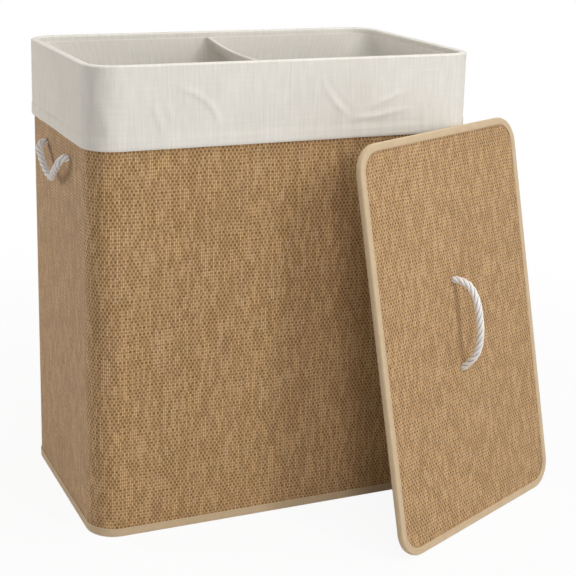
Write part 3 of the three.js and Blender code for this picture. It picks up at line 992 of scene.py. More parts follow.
def wall_tape(name, node, nose_height, leg, up):
    """A tape folded over the wall's lower edge, when up is 1, or over its upper edge, when up is -1."""
    profile = [(across - wall_thickness / 2, nose_height + up * depth)
               for depth, across in hairpin(wall_thickness, leg)]
    piece = grid_piece(name, wrapped(wall_runs, profile), closed_wall_runs, ring_lengths(profile),
                       binding_tape, ring_across=True, ring_along=True)
    return dress(piece, "hamper", [node])


foot_low, foot_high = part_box("foot_binding")
rim_low, rim_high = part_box("rim_binding")
wall_tape("foot_tape", "foot_binding", foot_low.z, foot_high.z - foot_low.z, 1)
wall_tape("rim_tape", "rim_binding", rim_high.z, rim_high.z - rim_low.z, -1)
row_round_hamper("foot_tape_stitches", tape_stand, foot_high.z - stitch_inset, tape_stitch_pitch, tape_thread,
                 "hamper")

# %% [markdown]
# ## The lid
#
# The lid is a board with the same weave on its face, a plain lining on its back and a tape round its edge.
# It leans, so its pieces are made lying flat, in axes of their own: across it, up along it, and straight
# out of its face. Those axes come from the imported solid, and one rotation puts every point in its place.
# The strands run up the lid as they do up the wall. The lid is seen at a slant, so its picks close up into
# level ribs.

# %% The lid's own axes
lid_swing = next(joint for joint in frame["joints"] if joint["name"] == "lid_handle_swing")
lid_up = Vector(lid_swing["axis"]).normalized()
largest = max(frame["nodes"]["lid_woven_face"].data.polygons, key=lambda face: face.area)
lid_out = largest.normal * (-1 if largest.normal.y > 0 else 1)
lid_axes = Matrix((lid_up.cross(lid_out), lid_up, lid_out)).transposed()


def lid_box(node):
    """A node's lowest and highest corners along the lid's own axes."""
    points = np.array([lid_axes.transposed() @ vertex.co for vertex in frame["nodes"][node].data.vertices])
    return Vector(points.min(0)), Vector(points.max(0))


def on_lid(rows):
    """Points in the lid's axes, put in their place."""
    return np.asarray(rows, float) @ np.array(lid_axes.transposed())


binding_low, binding_high = lid_box("lid_binding")
face_low, face_high = lid_box("lid_woven_face")
lining_low, lining_high = lid_box("lid_lining")
lid_middle = (binding_low + binding_high) / 2
lid_width = binding_high.x - binding_low.x
lid_length = binding_high.y - binding_low.y
lid_thickness = face_high.z - lining_low.z
lid_radius = 38 * MM
print(f"The lid is {lid_width / MM:.0f} by {lid_length / MM:.0f} mm and {lid_thickness / MM:.1f} mm thick")

# %% [markdown]
# A flat sheet with round corners is a grid whose rows get shorter near the two ends. The rows lie close
# together where the corners bend, so that the edge is round, and each row has the same number of points.
# The lid's two cloths and the hamper's base are such sheets.

# %% Flat sheets with round corners
def rounded_sheet(low, high, radius, columns, side_rows, corner_rows, height):
    """Rows of points over a rounded rectangle at one height."""
    half_x, half_y = (high.x - low.x) / 2, (high.y - low.y) / 2
    turn = np.linspace(0, quarter, corner_rows + 1)
    ends = half_y - radius + radius * np.sin(turn)
    ys = np.concatenate([-ends[::-1], np.linspace(radius - half_y, half_y - radius, side_rows)[1:-1], ends])
    inside = np.maximum(np.abs(ys) - (half_y - radius), 0)
    half_rows = half_x - radius + np.sqrt(np.maximum(radius ** 2 - inside ** 2, 0))
    xs = np.outer(half_rows, np.linspace(-1, 1, columns))
    return np.dstack([xs + (low.x + high.x) / 2, np.repeat(ys[:, None], columns, 1) + (low.y + high.y) / 2,
                      np.full_like(xs, height)])


def sheet_cells(row_count, columns):
    """The four-sided faces of a grid of points, by point number."""
    return [(j * columns + i, j * columns + i + 1, (j + 1) * columns + i + 1, (j + 1) * columns + i)
            for j in range(row_count - 1) for i in range(columns - 1)]


def sheet_rim(row_count, columns):
    """The point numbers round the edge of a grid of points."""
    return (list(range(columns)) + [j * columns + columns - 1 for j in range(1, row_count)]
            + [(row_count - 1) * columns + i for i in range(columns - 2, -1, -1)]
            + [j * columns for j in range(row_count - 2, 0, -1)])


def map_flat(mesh, points, low):
    """Gives a mesh a cloth map that is its own flat place, from its lowest corner."""
    order = np.array([loop.vertex_index for loop in mesh.loops])
    flat = np.column_stack([points[order, 0] - low.x, points[order, 1] - low.y])
    mesh.uv_layers.new(name=CLOTH_MAP).data.foreach_set("uv", flat.ravel())


print("3 by 3 points make", len(sheet_cells(3, 3)), "faces, with", len(sheet_rim(3, 3)), "points on the edge")

# %% [markdown]
# Face and back of the lid are two such sheets each, a cloth's thickness apart and joined along the edge.
# Their edge ends under the tape. The holes for the rope go right through, along the lines through its
# knots.

# %% Lid face and lining
lid_columns, lid_side_rows, lid_corner_rows = 60, 70, 10
drill_reach = 3


def lid_sheet(name, node, top, bottom, material):
    """A sheet of the lid with its two faces and its edge, as one closed mesh."""
    low, high = lid_box(node)
    radius = lid_radius - tape_nose - touch_gap
    faces = [rounded_sheet(low, high, radius, lid_columns, lid_side_rows, lid_corner_rows, height)
             for height in (bottom, top)]
    row_count, columns = faces[0].shape[:2]
    count = row_count * columns
    cells, rim = sheet_cells(row_count, columns), sheet_rim(row_count, columns)
    edge = [(a, b, b + count, a + count) for a, b in zip(rim, rim[1:] + rim[:1])]
    quads = [cell[::-1] for cell in cells] + [tuple(v + count for v in cell) for cell in cells] + edge
    local = np.concatenate([face.reshape(-1, 3) for face in faces])
    mesh = bpy.data.meshes.new(name)
    mesh.from_pydata(on_lid(local).tolist(), [], quads)
    map_flat(mesh, local, low)
    piece = finished_mesh(name, mesh, material)
    drilled(piece, hole_radius, lid_holes)
    return dress(piece, "lid", [node])


knot_boxes = [lid_box(name) for name in ("lid_lower_knot", "lid_upper_knot")]
lid_hole_places = [(low + high) / 2 for low, high in knot_boxes]
lid_holes = []
for place in lid_hole_places:
    ends = [Vector((place.x, place.y, lid_middle.z + side * drill_reach * lid_thickness)) for side in (-1, 1)]
    lid_holes.append(tuple(lid_axes @ end for end in ends))
lid_sheet("lid_weave", "lid_woven_face", face_high.z, face_low.z, straw_weave)
lid_sheet("lid_back_cloth", "lid_lining", lining_high.z, lining_low.z, plain_lining)

# %% [markdown]
# The lid's tape is the same hairpin as on the wall, carried round the lid's own outline, and it is sewn
# through from face to back. So the stitches show on both sides.

# %% Lid tape
lid_tape_leg = 10 * MM
lid_stitch_length = 2.9 * MM
lid_runs = stops_round(lid_width, lid_length, lid_radius, 140, 11)
lid_at, lid_way = outline(lid_width, lid_length, lid_radius, lid_runs)
lid_centre = np.array([lid_middle.x, lid_middle.y])
lid_profile = hairpin(lid_thickness, lid_tape_leg, leg_steps=9)
lid_tape_rows = [np.column_stack([lid_at - lid_way * depth + lid_centre,
                                  np.full(len(lid_runs), lid_middle.z + across)])
                 for depth, across in lid_profile]
closed_lid_runs = np.append(lid_runs, way_round(lid_width, lid_length, lid_radius))
lid_tape = grid_piece("lid_tape", on_lid(lid_tape_rows), closed_lid_runs, ring_lengths(lid_profile),
                      binding_tape, ring_across=True, ring_along=True)
dress(lid_tape, "lid", ["lid_binding"])

seam = lid_at - lid_way * (lid_tape_leg - stitch_inset) + lid_centre
seam = np.vstack([seam, seam[:1]])
for side_name, facing in (("face", 1), ("back", -1)):
    height = lid_middle.z + facing * (lid_thickness / 2 + tape_stand)
    line = np.column_stack([seam, np.full(len(seam), height)])
    outs = np.tile((0, 0, facing), (len(line), 1))
    row = stitch_row(f"lid_{side_name}_stitches", on_lid(line), on_lid(outs), tape_stitch_pitch,
                     lid_stitch_length, tape_thread)
    dress(row, "lid", [])

# %% [markdown]
# ## Rope handles
#
# A handle is one length of soft cotton rope, laid from four strands. Both ends run through holes and are
# knotted behind them, so the load hangs on the knots. A curve with a round bevel looks like a hose. Here
# the cross-section has four lobes and turns as it goes along, one turn in 42 mm, and each strand has
# shallow yarns of its own. The lid's rope is laid right-handed, and the side ropes are laid the other way,
# as in the photo.
#
# Its frame must not spin where the rope bends, so each ring takes over the last ring's direction and only
# tips it to the new way ahead.

# %% A line for the rope and its frames
rope_lay = 42 * MM
ring_step = 1.1 * MM
steps_between_points = 24


def smooth_line(points, step):
    """A smooth line through points, with its own points a step apart, and the distance of each along it."""
    points = np.asarray(points, float)
    padded = np.vstack([2 * points[0] - points[1], points, 2 * points[-1] - points[-2]])
    line = []
    for a, b, c, d in zip(padded, padded[1:], padded[2:], padded[3:]):
        for t in np.linspace(0, 1, steps_between_points, endpoint=False):
            line.append(0.5 * (2 * b + (c - a) * t + (2 * a - 5 * b + 4 * c - d) * t * t
                               + (3 * b - a - 3 * c + d) * t ** 3))
    line = np.array(line + [points[-1]])
    run = lengths_along(line)
    marks = np.linspace(0, run[-1], max(2, round(run[-1] / step)))
    return points_at(marks, run, line), marks


def carried_frames(line):
    """For each point two ways across the line, turned as little as the bends allow."""
    ahead_ways = np.gradient(line, axis=0)
    ahead_ways /= np.linalg.norm(ahead_ways, axis=1)[:, None]
    first = np.cross(ahead_ways[0], (0.3, 0.2, 0.93))
    sides = [first / np.linalg.norm(first)]
    for way in ahead_ways[1:]:
        side = sides[-1] - way * np.dot(sides[-1], way)
        sides.append(side / np.linalg.norm(side))
    sides = np.array(sides)
    return sides, np.cross(ahead_ways, sides)


print(f"Rope: a ring every {ring_step / MM:.1f} mm and a full turn in {rope_lay / MM:.0f} mm")

# %% [markdown]
# The outline is four overlapping circles, pressed together as strands are, and the yarns are small notches
# in each. Pressed strands fill a little more room than round ones, so the whole is made 4% fuller. A rope
# is then a stack of these outlines, each a little further round than the last.

# %% Rope mesh
rope_fullness = 1.04
ring_points = 80
rope_crease_angle = math.radians(70)
strand_share = 0.51
strand_centre_share = 0.49
yarn_notch_share = 0.07


def rope_outline(angle):
    """A rope's outline in shares of its radius: a round lobe for each strand, with yarns on it."""
    apart = math.tau / rope_strands
    off = (angle + apart / 2) % apart - apart / 2
    lobe = strand_centre_share * np.cos(off)
    lobe = lobe + np.sqrt(strand_share ** 2 - (strand_centre_share * np.sin(off)) ** 2)
    yarns = np.abs(np.sin(off / apart * math.pi * yarns_per_strand))
    return lobe - yarn_notch_share * (1 - yarns)


def rope_piece(name, points, radii, lay):
    """A rope through given points, with its radius at each. A lay below 0 twists the other way."""
    line, marks = smooth_line(points, ring_step)
    set_marks = lengths_along(points)
    radius = np.interp(marks, set_marks / set_marks[-1] * marks[-1], radii)
    turns = marks / lay * math.tau
    angles = np.linspace(0, math.tau, ring_points, endpoint=False)
    rows = []
    for place, first, second, turn, wide in zip(line, *carried_frames(line), turns, radius):
        spread = wide * rope_fullness * rope_outline(angles)
        along_first, along_second = spread * np.cos(angles + turn), spread * np.sin(angles + turn)
        rows.append(place + np.outer(along_first, first) + np.outer(along_second, second))
    around = np.linspace(0, math.tau * rope_radius, ring_points + 1)
    return grid_piece(name, rows, around, marks, cotton_rope, ring_across=True, sharp=rope_crease_angle)


print(f"Rope: from {rope_outline(0):.2f} to {rope_outline(math.pi / rope_strands):.2f} radii from its middle")

# %% [markdown]
# The stopper knot: the rope runs in along the knot's middle, turns back at its far end, winds nearly two
# turns round itself towards the wall and leaves its cut end standing. Pulled tight, the rope is thinner
# there. A plain ball could stand in for it, but the lid's knots show from behind, and the others show when
# the liner is out. So knot and handle are one unbroken rope.

# %% Stopper knots
knot_rope_radius = 3.6 * MM
knot_turn_radius = 7.2 * MM
knot_length = 14 * MM
knot_turns = 1.75
knot_steps = 22
squeezed_share = 0.93


def knot_points():
    """The knot from its cut end to the hole, as (away from the wall, across, across) in metres."""
    wind = []
    for share in np.linspace(0, 1, knot_steps + 1):
        angle = math.tau * knot_turns * share
        wind.append((4 * MM + (knot_length - 5.6 * MM) * share,
                     knot_turn_radius * math.cos(angle), knot_turn_radius * math.sin(angle)))
    back_rises = (1.2 * MM, 2.4 * MM, 0.5 * MM)
    back_reaches = (6 * MM, 3.4 * MM, 0.8 * MM)
    back_angles = [math.tau * knot_turns + turn for turn in (0.5, 1.1, 1.4)]
    back = [(knot_length - 1 * MM + rise, reach * math.cos(angle), reach * math.sin(angle))
            for rise, reach, angle in zip(back_rises, back_reaches, back_angles)]
    tail = [(10 * MM, 12.5 * MM, -9 * MM), (6 * MM, 10.5 * MM, -5.5 * MM), (4 * MM, 8.6 * MM, -2.6 * MM)]
    core = [(9 * MM, 0, 0), (5 * MM, 0, 0), (1.5 * MM, 0, 0)]
    return tail + wind + back + core


def knotted_rope(name, span, place, lay):
    """A rope with a knot at each end. Place turns (away from the wall, across, across) into a point."""
    knots = [[place(point, end) for point in knot_points()] for end in (1, -1)]
    points = knots[0] + span + knots[1][::-1]
    tight = [knot_rope_radius] * len(knots[0])
    squeezed = [rope_radius * squeezed_share] * 2
    radii = tight + squeezed + [rope_radius] * (len(span) - 4) + squeezed + tight
    return rope_piece(name, points, radii, lay)


print(f"A knot takes {lengths_along(knot_points())[-1] / MM:.0f} mm of rope")

# %% [markdown]
# A side rope comes out of its hole level, turns down and hangs against the wall in a flat loop. Its route
# is given in shares of the loop's reach and drop, which come from the imported solid.
#
# The handle swings on the line through its holes, and the knots stay behind. The rope bends there, between
# a point near the wall and one further out. A blend that ran straight out would run through the thickness
# of the hanging rope and tear it open, so these two points lie out and down alike, square to the rope
# halfway round its bend. They are worked out here, and no blend is made from them.

# %% Side handles
handle_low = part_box("left_rope_handle")[0]
wall_face = hamper_width / 2
loop_reach = -handle_low.x - rope_radius - wall_face
loop_drop = hole_height - (handle_low.z + rope_radius)
half_route_shares = [(1, -0.12, 0), (1, 0.15, -0.02), (0.995, 0.5, 0), (0.96, 0.8, 0.08), (0.86, 0.95, 0.23),
                     (0.58, 0.97, 0.52), (0.33, 0.9, 0.74), (0.12, 0.8, 0.88)]
side_route_shares = half_route_shares + [(0, 0.76, 0.91)]
side_route_shares += [(-along, out, drop) for along, out, drop in reversed(half_route_shares)]
side_bend = (1.8 * MM, 8.5 * MM)
flat_knot_share = 0.7


def side_handle(side, right):
    def place(point, end):
        away, first, second = point
        return (right * (wall_face - wall_thickness - away), end * (hole_along + first * flat_knot_share),
                hole_height + second)

    span = [(right * (wall_face + out * loop_reach), along * hole_along, hole_height - drop * loop_drop)
            for along, out, drop in side_route_shares]
    piece = knotted_rope(f"{side}_rope", span, place, -rope_lay)
    bend_start, bend_end = [(right * (wall_face + reach), 0, hole_height - reach) for reach in side_bend]
    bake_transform(piece)
    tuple(bend_start)
    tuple(bend_end)
    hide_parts(f"{side}_front_knot", f"{side}_back_knot", f"{side}_rope_handle")
    print(f"{piece.name}: {lengths_along(span)[-1] / MM:.0f} mm of rope outside the wall")


side_handle("left", -1)
side_handle("right", 1)

# %% [markdown]
# The lid's rope stands off the lid in a bow, which is fuller at its upper end. It falls to either side
# about the line through its holes, so the two ends of its bend lie straight out from the lid's face. They
# are worked out, and no blend is made from them.

# %% Lid handle
lid_loop_height = lid_box("lid_rope_handle")[1].z - rope_radius - face_high.z
hole_middle = (lid_hole_places[0] + lid_hole_places[1]) / 2
hole_half = (lid_hole_places[1].y - lid_hole_places[0].y) / 2
lid_route_shares = [(1, -0.04), (0.995, 0.12), (0.966, 0.34), (0.87, 0.65), (0.686, 0.86), (0.412, 0.98),
                    (0.05, 1), (-0.22, 0.95), (-0.492, 0.835), (-0.72, 0.6), (-0.9, 0.26), (-1, -0.04)]
lid_bend = (0.5 * MM, 10 * MM)


def from_hole_middle(across, up, height):
    """A point of the lid's rope, from a place between the two holes and a height in the lid's axes."""
    return tuple(lid_axes @ Vector((hole_middle.x + across, hole_middle.y + up, height)))


def lid_place(point, end):
    away, first, second = point
    return from_hole_middle(second, end * (hole_half + first), lining_low.z - away)


lid_span = [from_hole_middle(0, along * hole_half, face_high.z + out * lid_loop_height)
            for along, out in lid_route_shares]
lid_rope = knotted_rope("lid_rope", lid_span, lid_place, rope_lay)
bend_start, bend_end = (from_hole_middle(0, 0, face_high.z + reach) for reach in lid_bend)
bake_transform(lid_rope)
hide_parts("lid_lower_knot", "lid_upper_knot", "lid_rope_handle")
print(f"{lid_rope.name}: {lengths_along(lid_span)[-1] / MM:.0f} mm of rope in front of the lid")

# %% [markdown]
# ## The cuff's creases
#
# The cuff is the liner's top, folded outwards over the rim. It has been folded in a packet, so it is
# creased. Cloth simulation gives a different set of creases on each try. Creases that have to be in known
# places are better written down: each is a line over the cloth with a height and a width, and a point near
# the line is pushed out by a soft bell curve that fades towards the line's ends. A lift below 0 is a dent
# beside a fold.

# %% One crease
def crease_lift(run, height, line, lift, width):
    """How far one crease lifts the cloth at each place."""
    line = np.asarray(line, float)
    lengths = lengths_along(line)
    nearest, along = np.full(run.shape, np.inf), np.zeros(run.shape)
    for start, end, begun in zip(line, line[1:], lengths):
        way = end - start
        share = np.clip(((run - start[0]) * way[0] + (height - start[1]) * way[1]) / (way @ way), 0, 1)
        distance = np.hypot(run - start[0] - share * way[0], height - start[1] - share * way[1])
        closer = distance < nearest
        nearest = np.where(closer, distance, nearest)
        along = np.where(closer, (begun + share * np.hypot(*way)) / lengths[-1], along)
    return lift * np.exp(-(nearest / width) ** 2) * np.sin(np.pi * np.clip(along, 0.04, 0.96)) ** 0.6


level_line = [(0, 0), (1, 0)]
at_middle, at_end = crease_lift(np.array([0.5, 0.0]), np.zeros(2), level_line, 1.0, 0.1)
print(f"A crease stands {at_middle:.2f} of its lift in its middle and {at_end:.2f} of it at its end")

# %% [markdown]
# The creases on the front are set where the photo shows them: a long one that bends down at the left, with
# short ones beside it, a fold with a dent along it just right of the seam, two long flat ones further right,
# and two short upright ones near the corner. Their places are in millimetres, from the front seam and from
# the floor. The back and the ends aren't seen as clearly, so creases are strewn there at random, with a
# fixed seed, so that every run gives the same ones.

# %% All creases
front_seam_offset = 4 * MM
front_middle = round_hamper / 2 - front_seam_offset
front_creases = [
    ([(-150, 600), (-134, 594), (-119, 585), (-108, 574), (-100, 560), (-96, 541)], 1.9, 3),
    ([(-186, 579), (-180, 563), (-175, 547)], 1.6, 3),
    ([(-168, 580), (-162, 565), (-160, 552)], 1, 3),
    ([(-148, 566), (-145, 554), (-143, 543)], 1.2, 3),
    ([(-250, 576), (-243, 556), (-240, 535)], 1.2, 6),
    ([(52, 602), (66, 582), (78, 569), (88, 559)], -0.8, 1.9),
    ([(48, 595), (60, 576), (72, 563), (82, 556)], 1.8, 3),
    ([(111.9, 562.9), (139.6, 572.9), (167.4, 584.4)], 1.4, 3.6),
    ([(86.1, 549.6), (128.8, 552), (171.2, 560.3)], 1.9, 3.2),
    ([(195.9, 528.6), (196.9, 539.5), (199.7, 553)], 1.2, 2.6),
    ([(207.7, 559.5), (208.1, 575.7), (209.8, 585.1)], 1.2, 2.6),
]
strewn_heights = (545, 600)
strewn_slopes = (0.5, 1.4)
strewn_lengths = (20, 55)
strewn_lifts = (0.8, 1.8)
strewn_widths = (3, 6)
strewn_bend_share = 0.15
strewn_half_run = 100
random_creases = np.random.default_rng(7)


def strewn_creases(middle_run, count):
    """Creases that no photo shows, strewn over a stretch of the cuff, in millimetres."""
    creases = []
    for _ in range(count):
        run = random_creases.uniform(middle_run - strewn_half_run, middle_run + strewn_half_run)
        start = np.array([run, random_creases.uniform(*strewn_heights)])
        slope = random_creases.choice((-1, 1)) * random_creases.uniform(*strewn_slopes)
        length = random_creases.uniform(*strewn_lengths)
        way = np.array([math.cos(slope), -math.sin(abs(slope))]) * length
        bend = np.array([way[1], -way[0]]) * random_creases.uniform(-strewn_bend_share, strewn_bend_share)
        line = [start, start + way / 2 + bend, start + way]
        creases.append((line, random_creases.uniform(*strewn_lifts), random_creases.uniform(*strewn_widths)))
    return creases


def in_metres(creases, seam=0.0):
    """Creases given in millimetres, with their runs counted from a seam."""
    return [([(x * MM + seam, z * MM) for x, z in line], lift * MM, width * MM)
            for line, lift, width in creases]


back_offset = 150 * MM
strewn_places = ((round_hamper * 0.25, 5), (round_hamper * 0.75, 6), (back_offset, 5),
                 (round_hamper - back_offset, 5))
all_creases = in_metres(front_creases, front_middle)
for middle_run, count in strewn_places:
    all_creases += in_metres(strewn_creases(middle_run / MM, count))
print(len(all_creases), "creases, of which", len(front_creases), "are on the front")

# %% [markdown]
# ## The cuff
#
# The cuff is one skin that comes up inside the wall, turns round the taped rim and hangs down outside, with
# a hem at its foot. It is made like the wall, from a profile carried round the hamper, but as a closed skin
# with a thickness, so that its foot has an edge that throws a shadow on the weave. The hem is two layers
# thick, and the row of stitches pulls it in.

# %% The cuff's profile
rim_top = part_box("liner_cuff")[1].z
cuff_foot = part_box("liner_cuff")[0].z
cloth_thickness = 1 * MM
cuff_stand = tape_stand + touch_gap
cuff_out = cuff_stand + cloth_thickness
cuff_middle = -wall_thickness / 2
cuff_step = 3.2 * MM
cuff_foot_round = 0.2 * MM
cuff_foot_top = 1.2 * MM
cuff_inside_foot = rim_top - 42 * MM
rim_nose = 2.3 * MM
hem_depth = 16 * MM
hem_extra = 0.8 * MM
hem_step_height = 0.35 * MM
stitch_pull, stitch_pull_height = 0.45 * MM, 1.1 * MM
inside_crease_share = 0.3


def cuff_profile():
    """The cuff's closed outline as (distance out, height, how much of the creases it takes)."""
    hem_top = cuff_foot + hem_depth
    stops = [(cuff_stand + cuff_foot_round, cuff_foot + cuff_foot_round, 1), (cuff_out, cuff_foot, 1)]
    for height in np.arange(cuff_foot + cuff_foot_top, rim_top - rim_nose, cuff_step):
        hem = hem_extra / (1 + math.exp((height - hem_top) / hem_step_height))
        pulled = stitch_pull * math.exp(-((height - hem_top) / stitch_pull_height) ** 2)
        stops.append((cuff_out + hem - pulled, height, 1))
    reach = cuff_out - cuff_middle
    for angle in np.linspace(0, math.pi, 11):
        stops.append((cuff_middle + reach * math.cos(angle), rim_top - rim_nose * (1 - math.sin(angle)),
                      inside_crease_share))
    stops += [(cuff_middle - reach, z, inside_crease_share)
              for z in np.linspace(rim_top - rim_nose, cuff_inside_foot, 12)[1:]]
    inner = cuff_stand - cuff_middle
    stops += [(cuff_middle - inner, z, inside_crease_share) for z in (cuff_inside_foot, rim_top - rim_nose)]
    stops += [(cuff_middle + inner, z, 0)
              for z in np.linspace(rim_top - rim_nose, cuff_foot + cuff_foot_round, 12)]
    return stops


cuff_stops = cuff_profile()
print("The cuff's profile has", len(cuff_stops), "stops and is", round((rim_top - cuff_foot) / MM), "mm deep")

# %% [markdown]
# A cloth that hangs has slack, most of it at its foot, and it never lies in an even wave. Three sines with
# odd counts, added up, don't repeat in any way that the eye finds. The seam down the middle of the front is
# a low ridge, with a few stops of its own, because the even stops are too far apart for it.

# %% The cuff
cuff_slack = 0.9 * MM
cuff_run_step = 3.4 * MM
seam_half_width = 1.3 * MM
seam_height = 0.4 * MM
seam_stops = np.array([-2.2, -1.5, -1, -0.5, 0.5, 1, 1.5, 2.2]) * MM
even_stops = np.arange(0, round_hamper, cuff_run_step)
cuff_runs = np.unique(np.round(np.concatenate([even_stops, front_middle + seam_stops]), 6))


def cuff_wave(runs, height):
    """The slack of the hanging cloth: it stands further out towards its foot, unevenly."""
    hang = np.clip((rim_top - height) / (rim_top - cuff_foot), 0, 1) ** 1.3
    turns = runs / round_hamper * math.tau
    slack = 0.5 + 0.25 * np.sin(turns * 7 + 1.1)
    slack = slack + 0.15 * np.sin(turns * 13 + height * 30) + 0.1 * np.sin(turns * 23)
    return cuff_slack * hang * np.clip(slack, 0, 1)


def cuff_swell(stop, runs, height):
    """How far the slack, the creases and the seam push one level of the cuff out."""
    takes = cuff_stops[stop][2]
    if takes == 0:
        return 0
    lift = cuff_wave(runs, height)
    if takes < 1:
        return takes * lift
    heights = np.full(runs.shape, height)
    for line, rise, width in all_creases:
        lift = lift + crease_lift(runs, heights, line, rise, width)
    return lift + seam_height * np.exp(-((runs - front_middle) / seam_half_width) ** 4)


cuff_outline = [stop[:2] for stop in cuff_stops]
cuff = grid_piece("cuff", wrapped(cuff_runs, cuff_outline, cuff_swell), np.append(cuff_runs, round_hamper),
                  ring_lengths(cuff_outline), liner_linen, ring_across=True, ring_along=True)
dress(cuff, "liner", ["liner_cuff"])
hem_stitch_pitch = 4.4 * MM
hem_stitch_stand = 0.75 * MM
row_round_hamper("cuff_hem_stitches", cuff_out + hem_stitch_stand, cuff_foot + hem_depth, hem_stitch_pitch,
                 hem_thread, "liner")

# %% [markdown]
# ## The bags
#
# Each bag is sewn from the same cloth and hangs from the cuff down to the base board. It is a loft of
# rounded outlines, one for each level. Below the mouth they draw in by about 2 cm, which clears the ropes'
# knots, and from there on the cloth hangs straight down. Every outline is counted the same way from its
# inner front corner, so that points of neighbouring levels lie above each other.

# %% A bag's outline
bag_low, bag_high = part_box("liner_right_bag")
bag_corner_steps, bag_side_steps = 10, 26
divider_corner = 7 * MM
least_corner = 1 * MM
low_end_gap, low_side_gap, low_corner = 22 * MM, 8 * MM, 42 * MM
straight_top = rim_top - 114 * MM
half_in_level = rim_top - 60 * MM
# Height, gap to the wall's end, gap to its front and back, and corner radius
bag_levels = [
    (bag_low.z, low_end_gap, low_side_gap, low_corner),
    (straight_top, low_end_gap, low_side_gap, low_corner),
    (half_in_level, 12 * MM, 5.45 * MM, 40 * MM),
    (bag_high.z, 2.9 * MM, 2.9 * MM, 30.1 * MM),
]


def filled(start, end):
    """Points between two corners' arcs, without the two ends."""
    return [start + (end - start) * share for share in np.linspace(0, 1, bag_side_steps + 1)[1:-1]]


def bag_ring(right, height, inset):
    """A bag's outline at a height, from its inner front corner, counted the same way at every level."""
    heights = [level[0] for level in bag_levels]
    end, side, radius = (np.interp(height, heights, [level[k] for level in bag_levels]) for k in (1, 2, 3))
    half_depth = hamper_depth / 2 - wall_thickness - side - inset
    outer = hamper_width / 2 - wall_thickness - end - inset
    inner = touch_gap + inset
    corners = [(inner, -half_depth, divider_corner), (outer, -half_depth, radius),
               (outer, half_depth, radius), (inner, half_depth, divider_corner)]
    ring = []
    for k, (x, y, r) in enumerate(corners):
        r = max(r - inset, least_corner)
        centre = np.array([x + (r if k in (0, 3) else -r), y + (r if k < 2 else -r)])
        angles = math.pi + k * quarter + np.linspace(0, quarter, bag_corner_steps + 1)
        arc = [centre + r * np.array([math.cos(a), math.sin(a)]) for a in angles]
        ring += (filled(ring[-1], arc[0]) if ring else []) + arc
    ring += filled(ring[-1], ring[0])
    return np.array(ring) * (right, 1)


print("A bag's outline has", len(bag_ring(1, bag_high.z, 0)), "points")

# %% [markdown]
# Both bags share the divider, which sags between front and back as a hem does. The cloth's slack gathers in
# soft upright folds, which start under the cuff and grow on the way down. A simulation could make them, but
# it would also push the cloth through the rods and knots behind it. These folds only push inwards.

# %% The bags
divider_sag = 10 * MM
divider_reach = 3 * MM
sag_height = 40 * MM
fold_count = 26
bag_slack = 3.6 * MM
fold_start, fold_growth = 30 * MM, 150 * MM
floor_round = 5 * MM
floor_calm = 30 * MM
floor_side_gap = 10 * MM


def sag_at(share):
    """How far the divider's edge sags at a share of the way from front to back."""
    return divider_sag * 4 * share * (1 - share)


def divider_drop(ring, height):
    """How far the divider's edge sags at each point of a ring near the mouth."""
    share = np.clip(ring[:, 1] / (hamper_depth - 2 * wall_thickness) + 0.5, 0, 1)
    near = np.exp(-(np.abs(ring[:, 0]) / divider_reach) ** 2)
    fade = np.clip((height - (bag_high.z - sag_height)) / sag_height, 0, 1)
    return near * fade * sag_at(share)


def fold_push(shares, folds, height):
    """How far the folds push a level of the bag inwards, at shares of the way round it."""
    push = np.zeros(len(shares))
    for middle, width, size, lean in folds:
        off = (shares - middle - lean * (bag_high.z - height) + 0.5) % 1 - 0.5
        push += size * np.exp(-(off / width) ** 2)
    below = np.clip((bag_high.z - fold_start - height) / fold_growth, 0, 1)
    above_floor = np.clip((height - bag_low.z) / floor_calm, 0, 1)
    return push * bag_slack * below * (0.25 + 0.75 * above_floor)


def bag_level(right, folds, height, inset):
    """One level of a bag with its folds and its sag, and the distances round it."""
    tuck = max(0.0, 1 - (height - bag_low.z) / floor_round)
    ring = bag_ring(right, height, inset + floor_round * (1 - math.sqrt(max(0.0, 1 - tuck ** 2))))
    run = ring_lengths(ring)
    around = np.roll(ring, -1, axis=0) - np.roll(ring, 1, axis=0)
    inward = np.column_stack([-around[:, 1], around[:, 0]]) * right
    inward /= np.linalg.norm(inward, axis=1)[:, None]
    ring = ring + inward * fold_push(run[:-1] / run[-1], folds, height)[:, None]
    return np.column_stack([ring, height - divider_drop(ring, height)]), run


def bag(side, right, seed):
    """A bag as one skin, down outside and up inside; the size of its cloth is worked out and not kept."""
    rng = np.random.default_rng(seed)
    folds = [(rng.uniform(0, 1), rng.uniform(0.006, 0.02), rng.uniform(0.4, 1), rng.uniform(-0.06, 0.06))
             for _ in range(fold_count)]
    floor_curve = bag_low.z + floor_round * (1 - np.cos(np.linspace(0, quarter, 5)))
    heights = np.concatenate([floor_curve[:-1], np.linspace(bag_low.z + floor_round, bag_high.z, 64)])
    outside = [bag_level(right, folds, height, 0) for height in heights]
    inside = [bag_level(right, folds, max(height, bag_low.z + cloth_thickness), cloth_thickness)
              for height in heights[::-1]]
    girth = outside[-1][1]
    along_at = np.concatenate([heights, heights[-1] * 2 - heights[::-1]])
    piece = grid_piece(f"{side}_bag", [ring for ring, _ in outside + inside], girth, along_at, liner_linen,
                       ring_across=True)
    dress(piece, "liner", [f"liner_{side}_bag"])
    size = bag_high - bag_low
    floor_area = (size.x - low_end_gap) * (size.y - floor_side_gap)
    girth[-1] * size.z + floor_area


bag("left", -1, 3)
bag("right", 1, 5)

# %% [markdown]
# The divider is where the two bags meet. A tape is folded over their two edges and sewn down, so the
# divider ends in a narrow ridge, which sags as the bags' edges do. It is the same hairpin as on the wall
# and the lid.

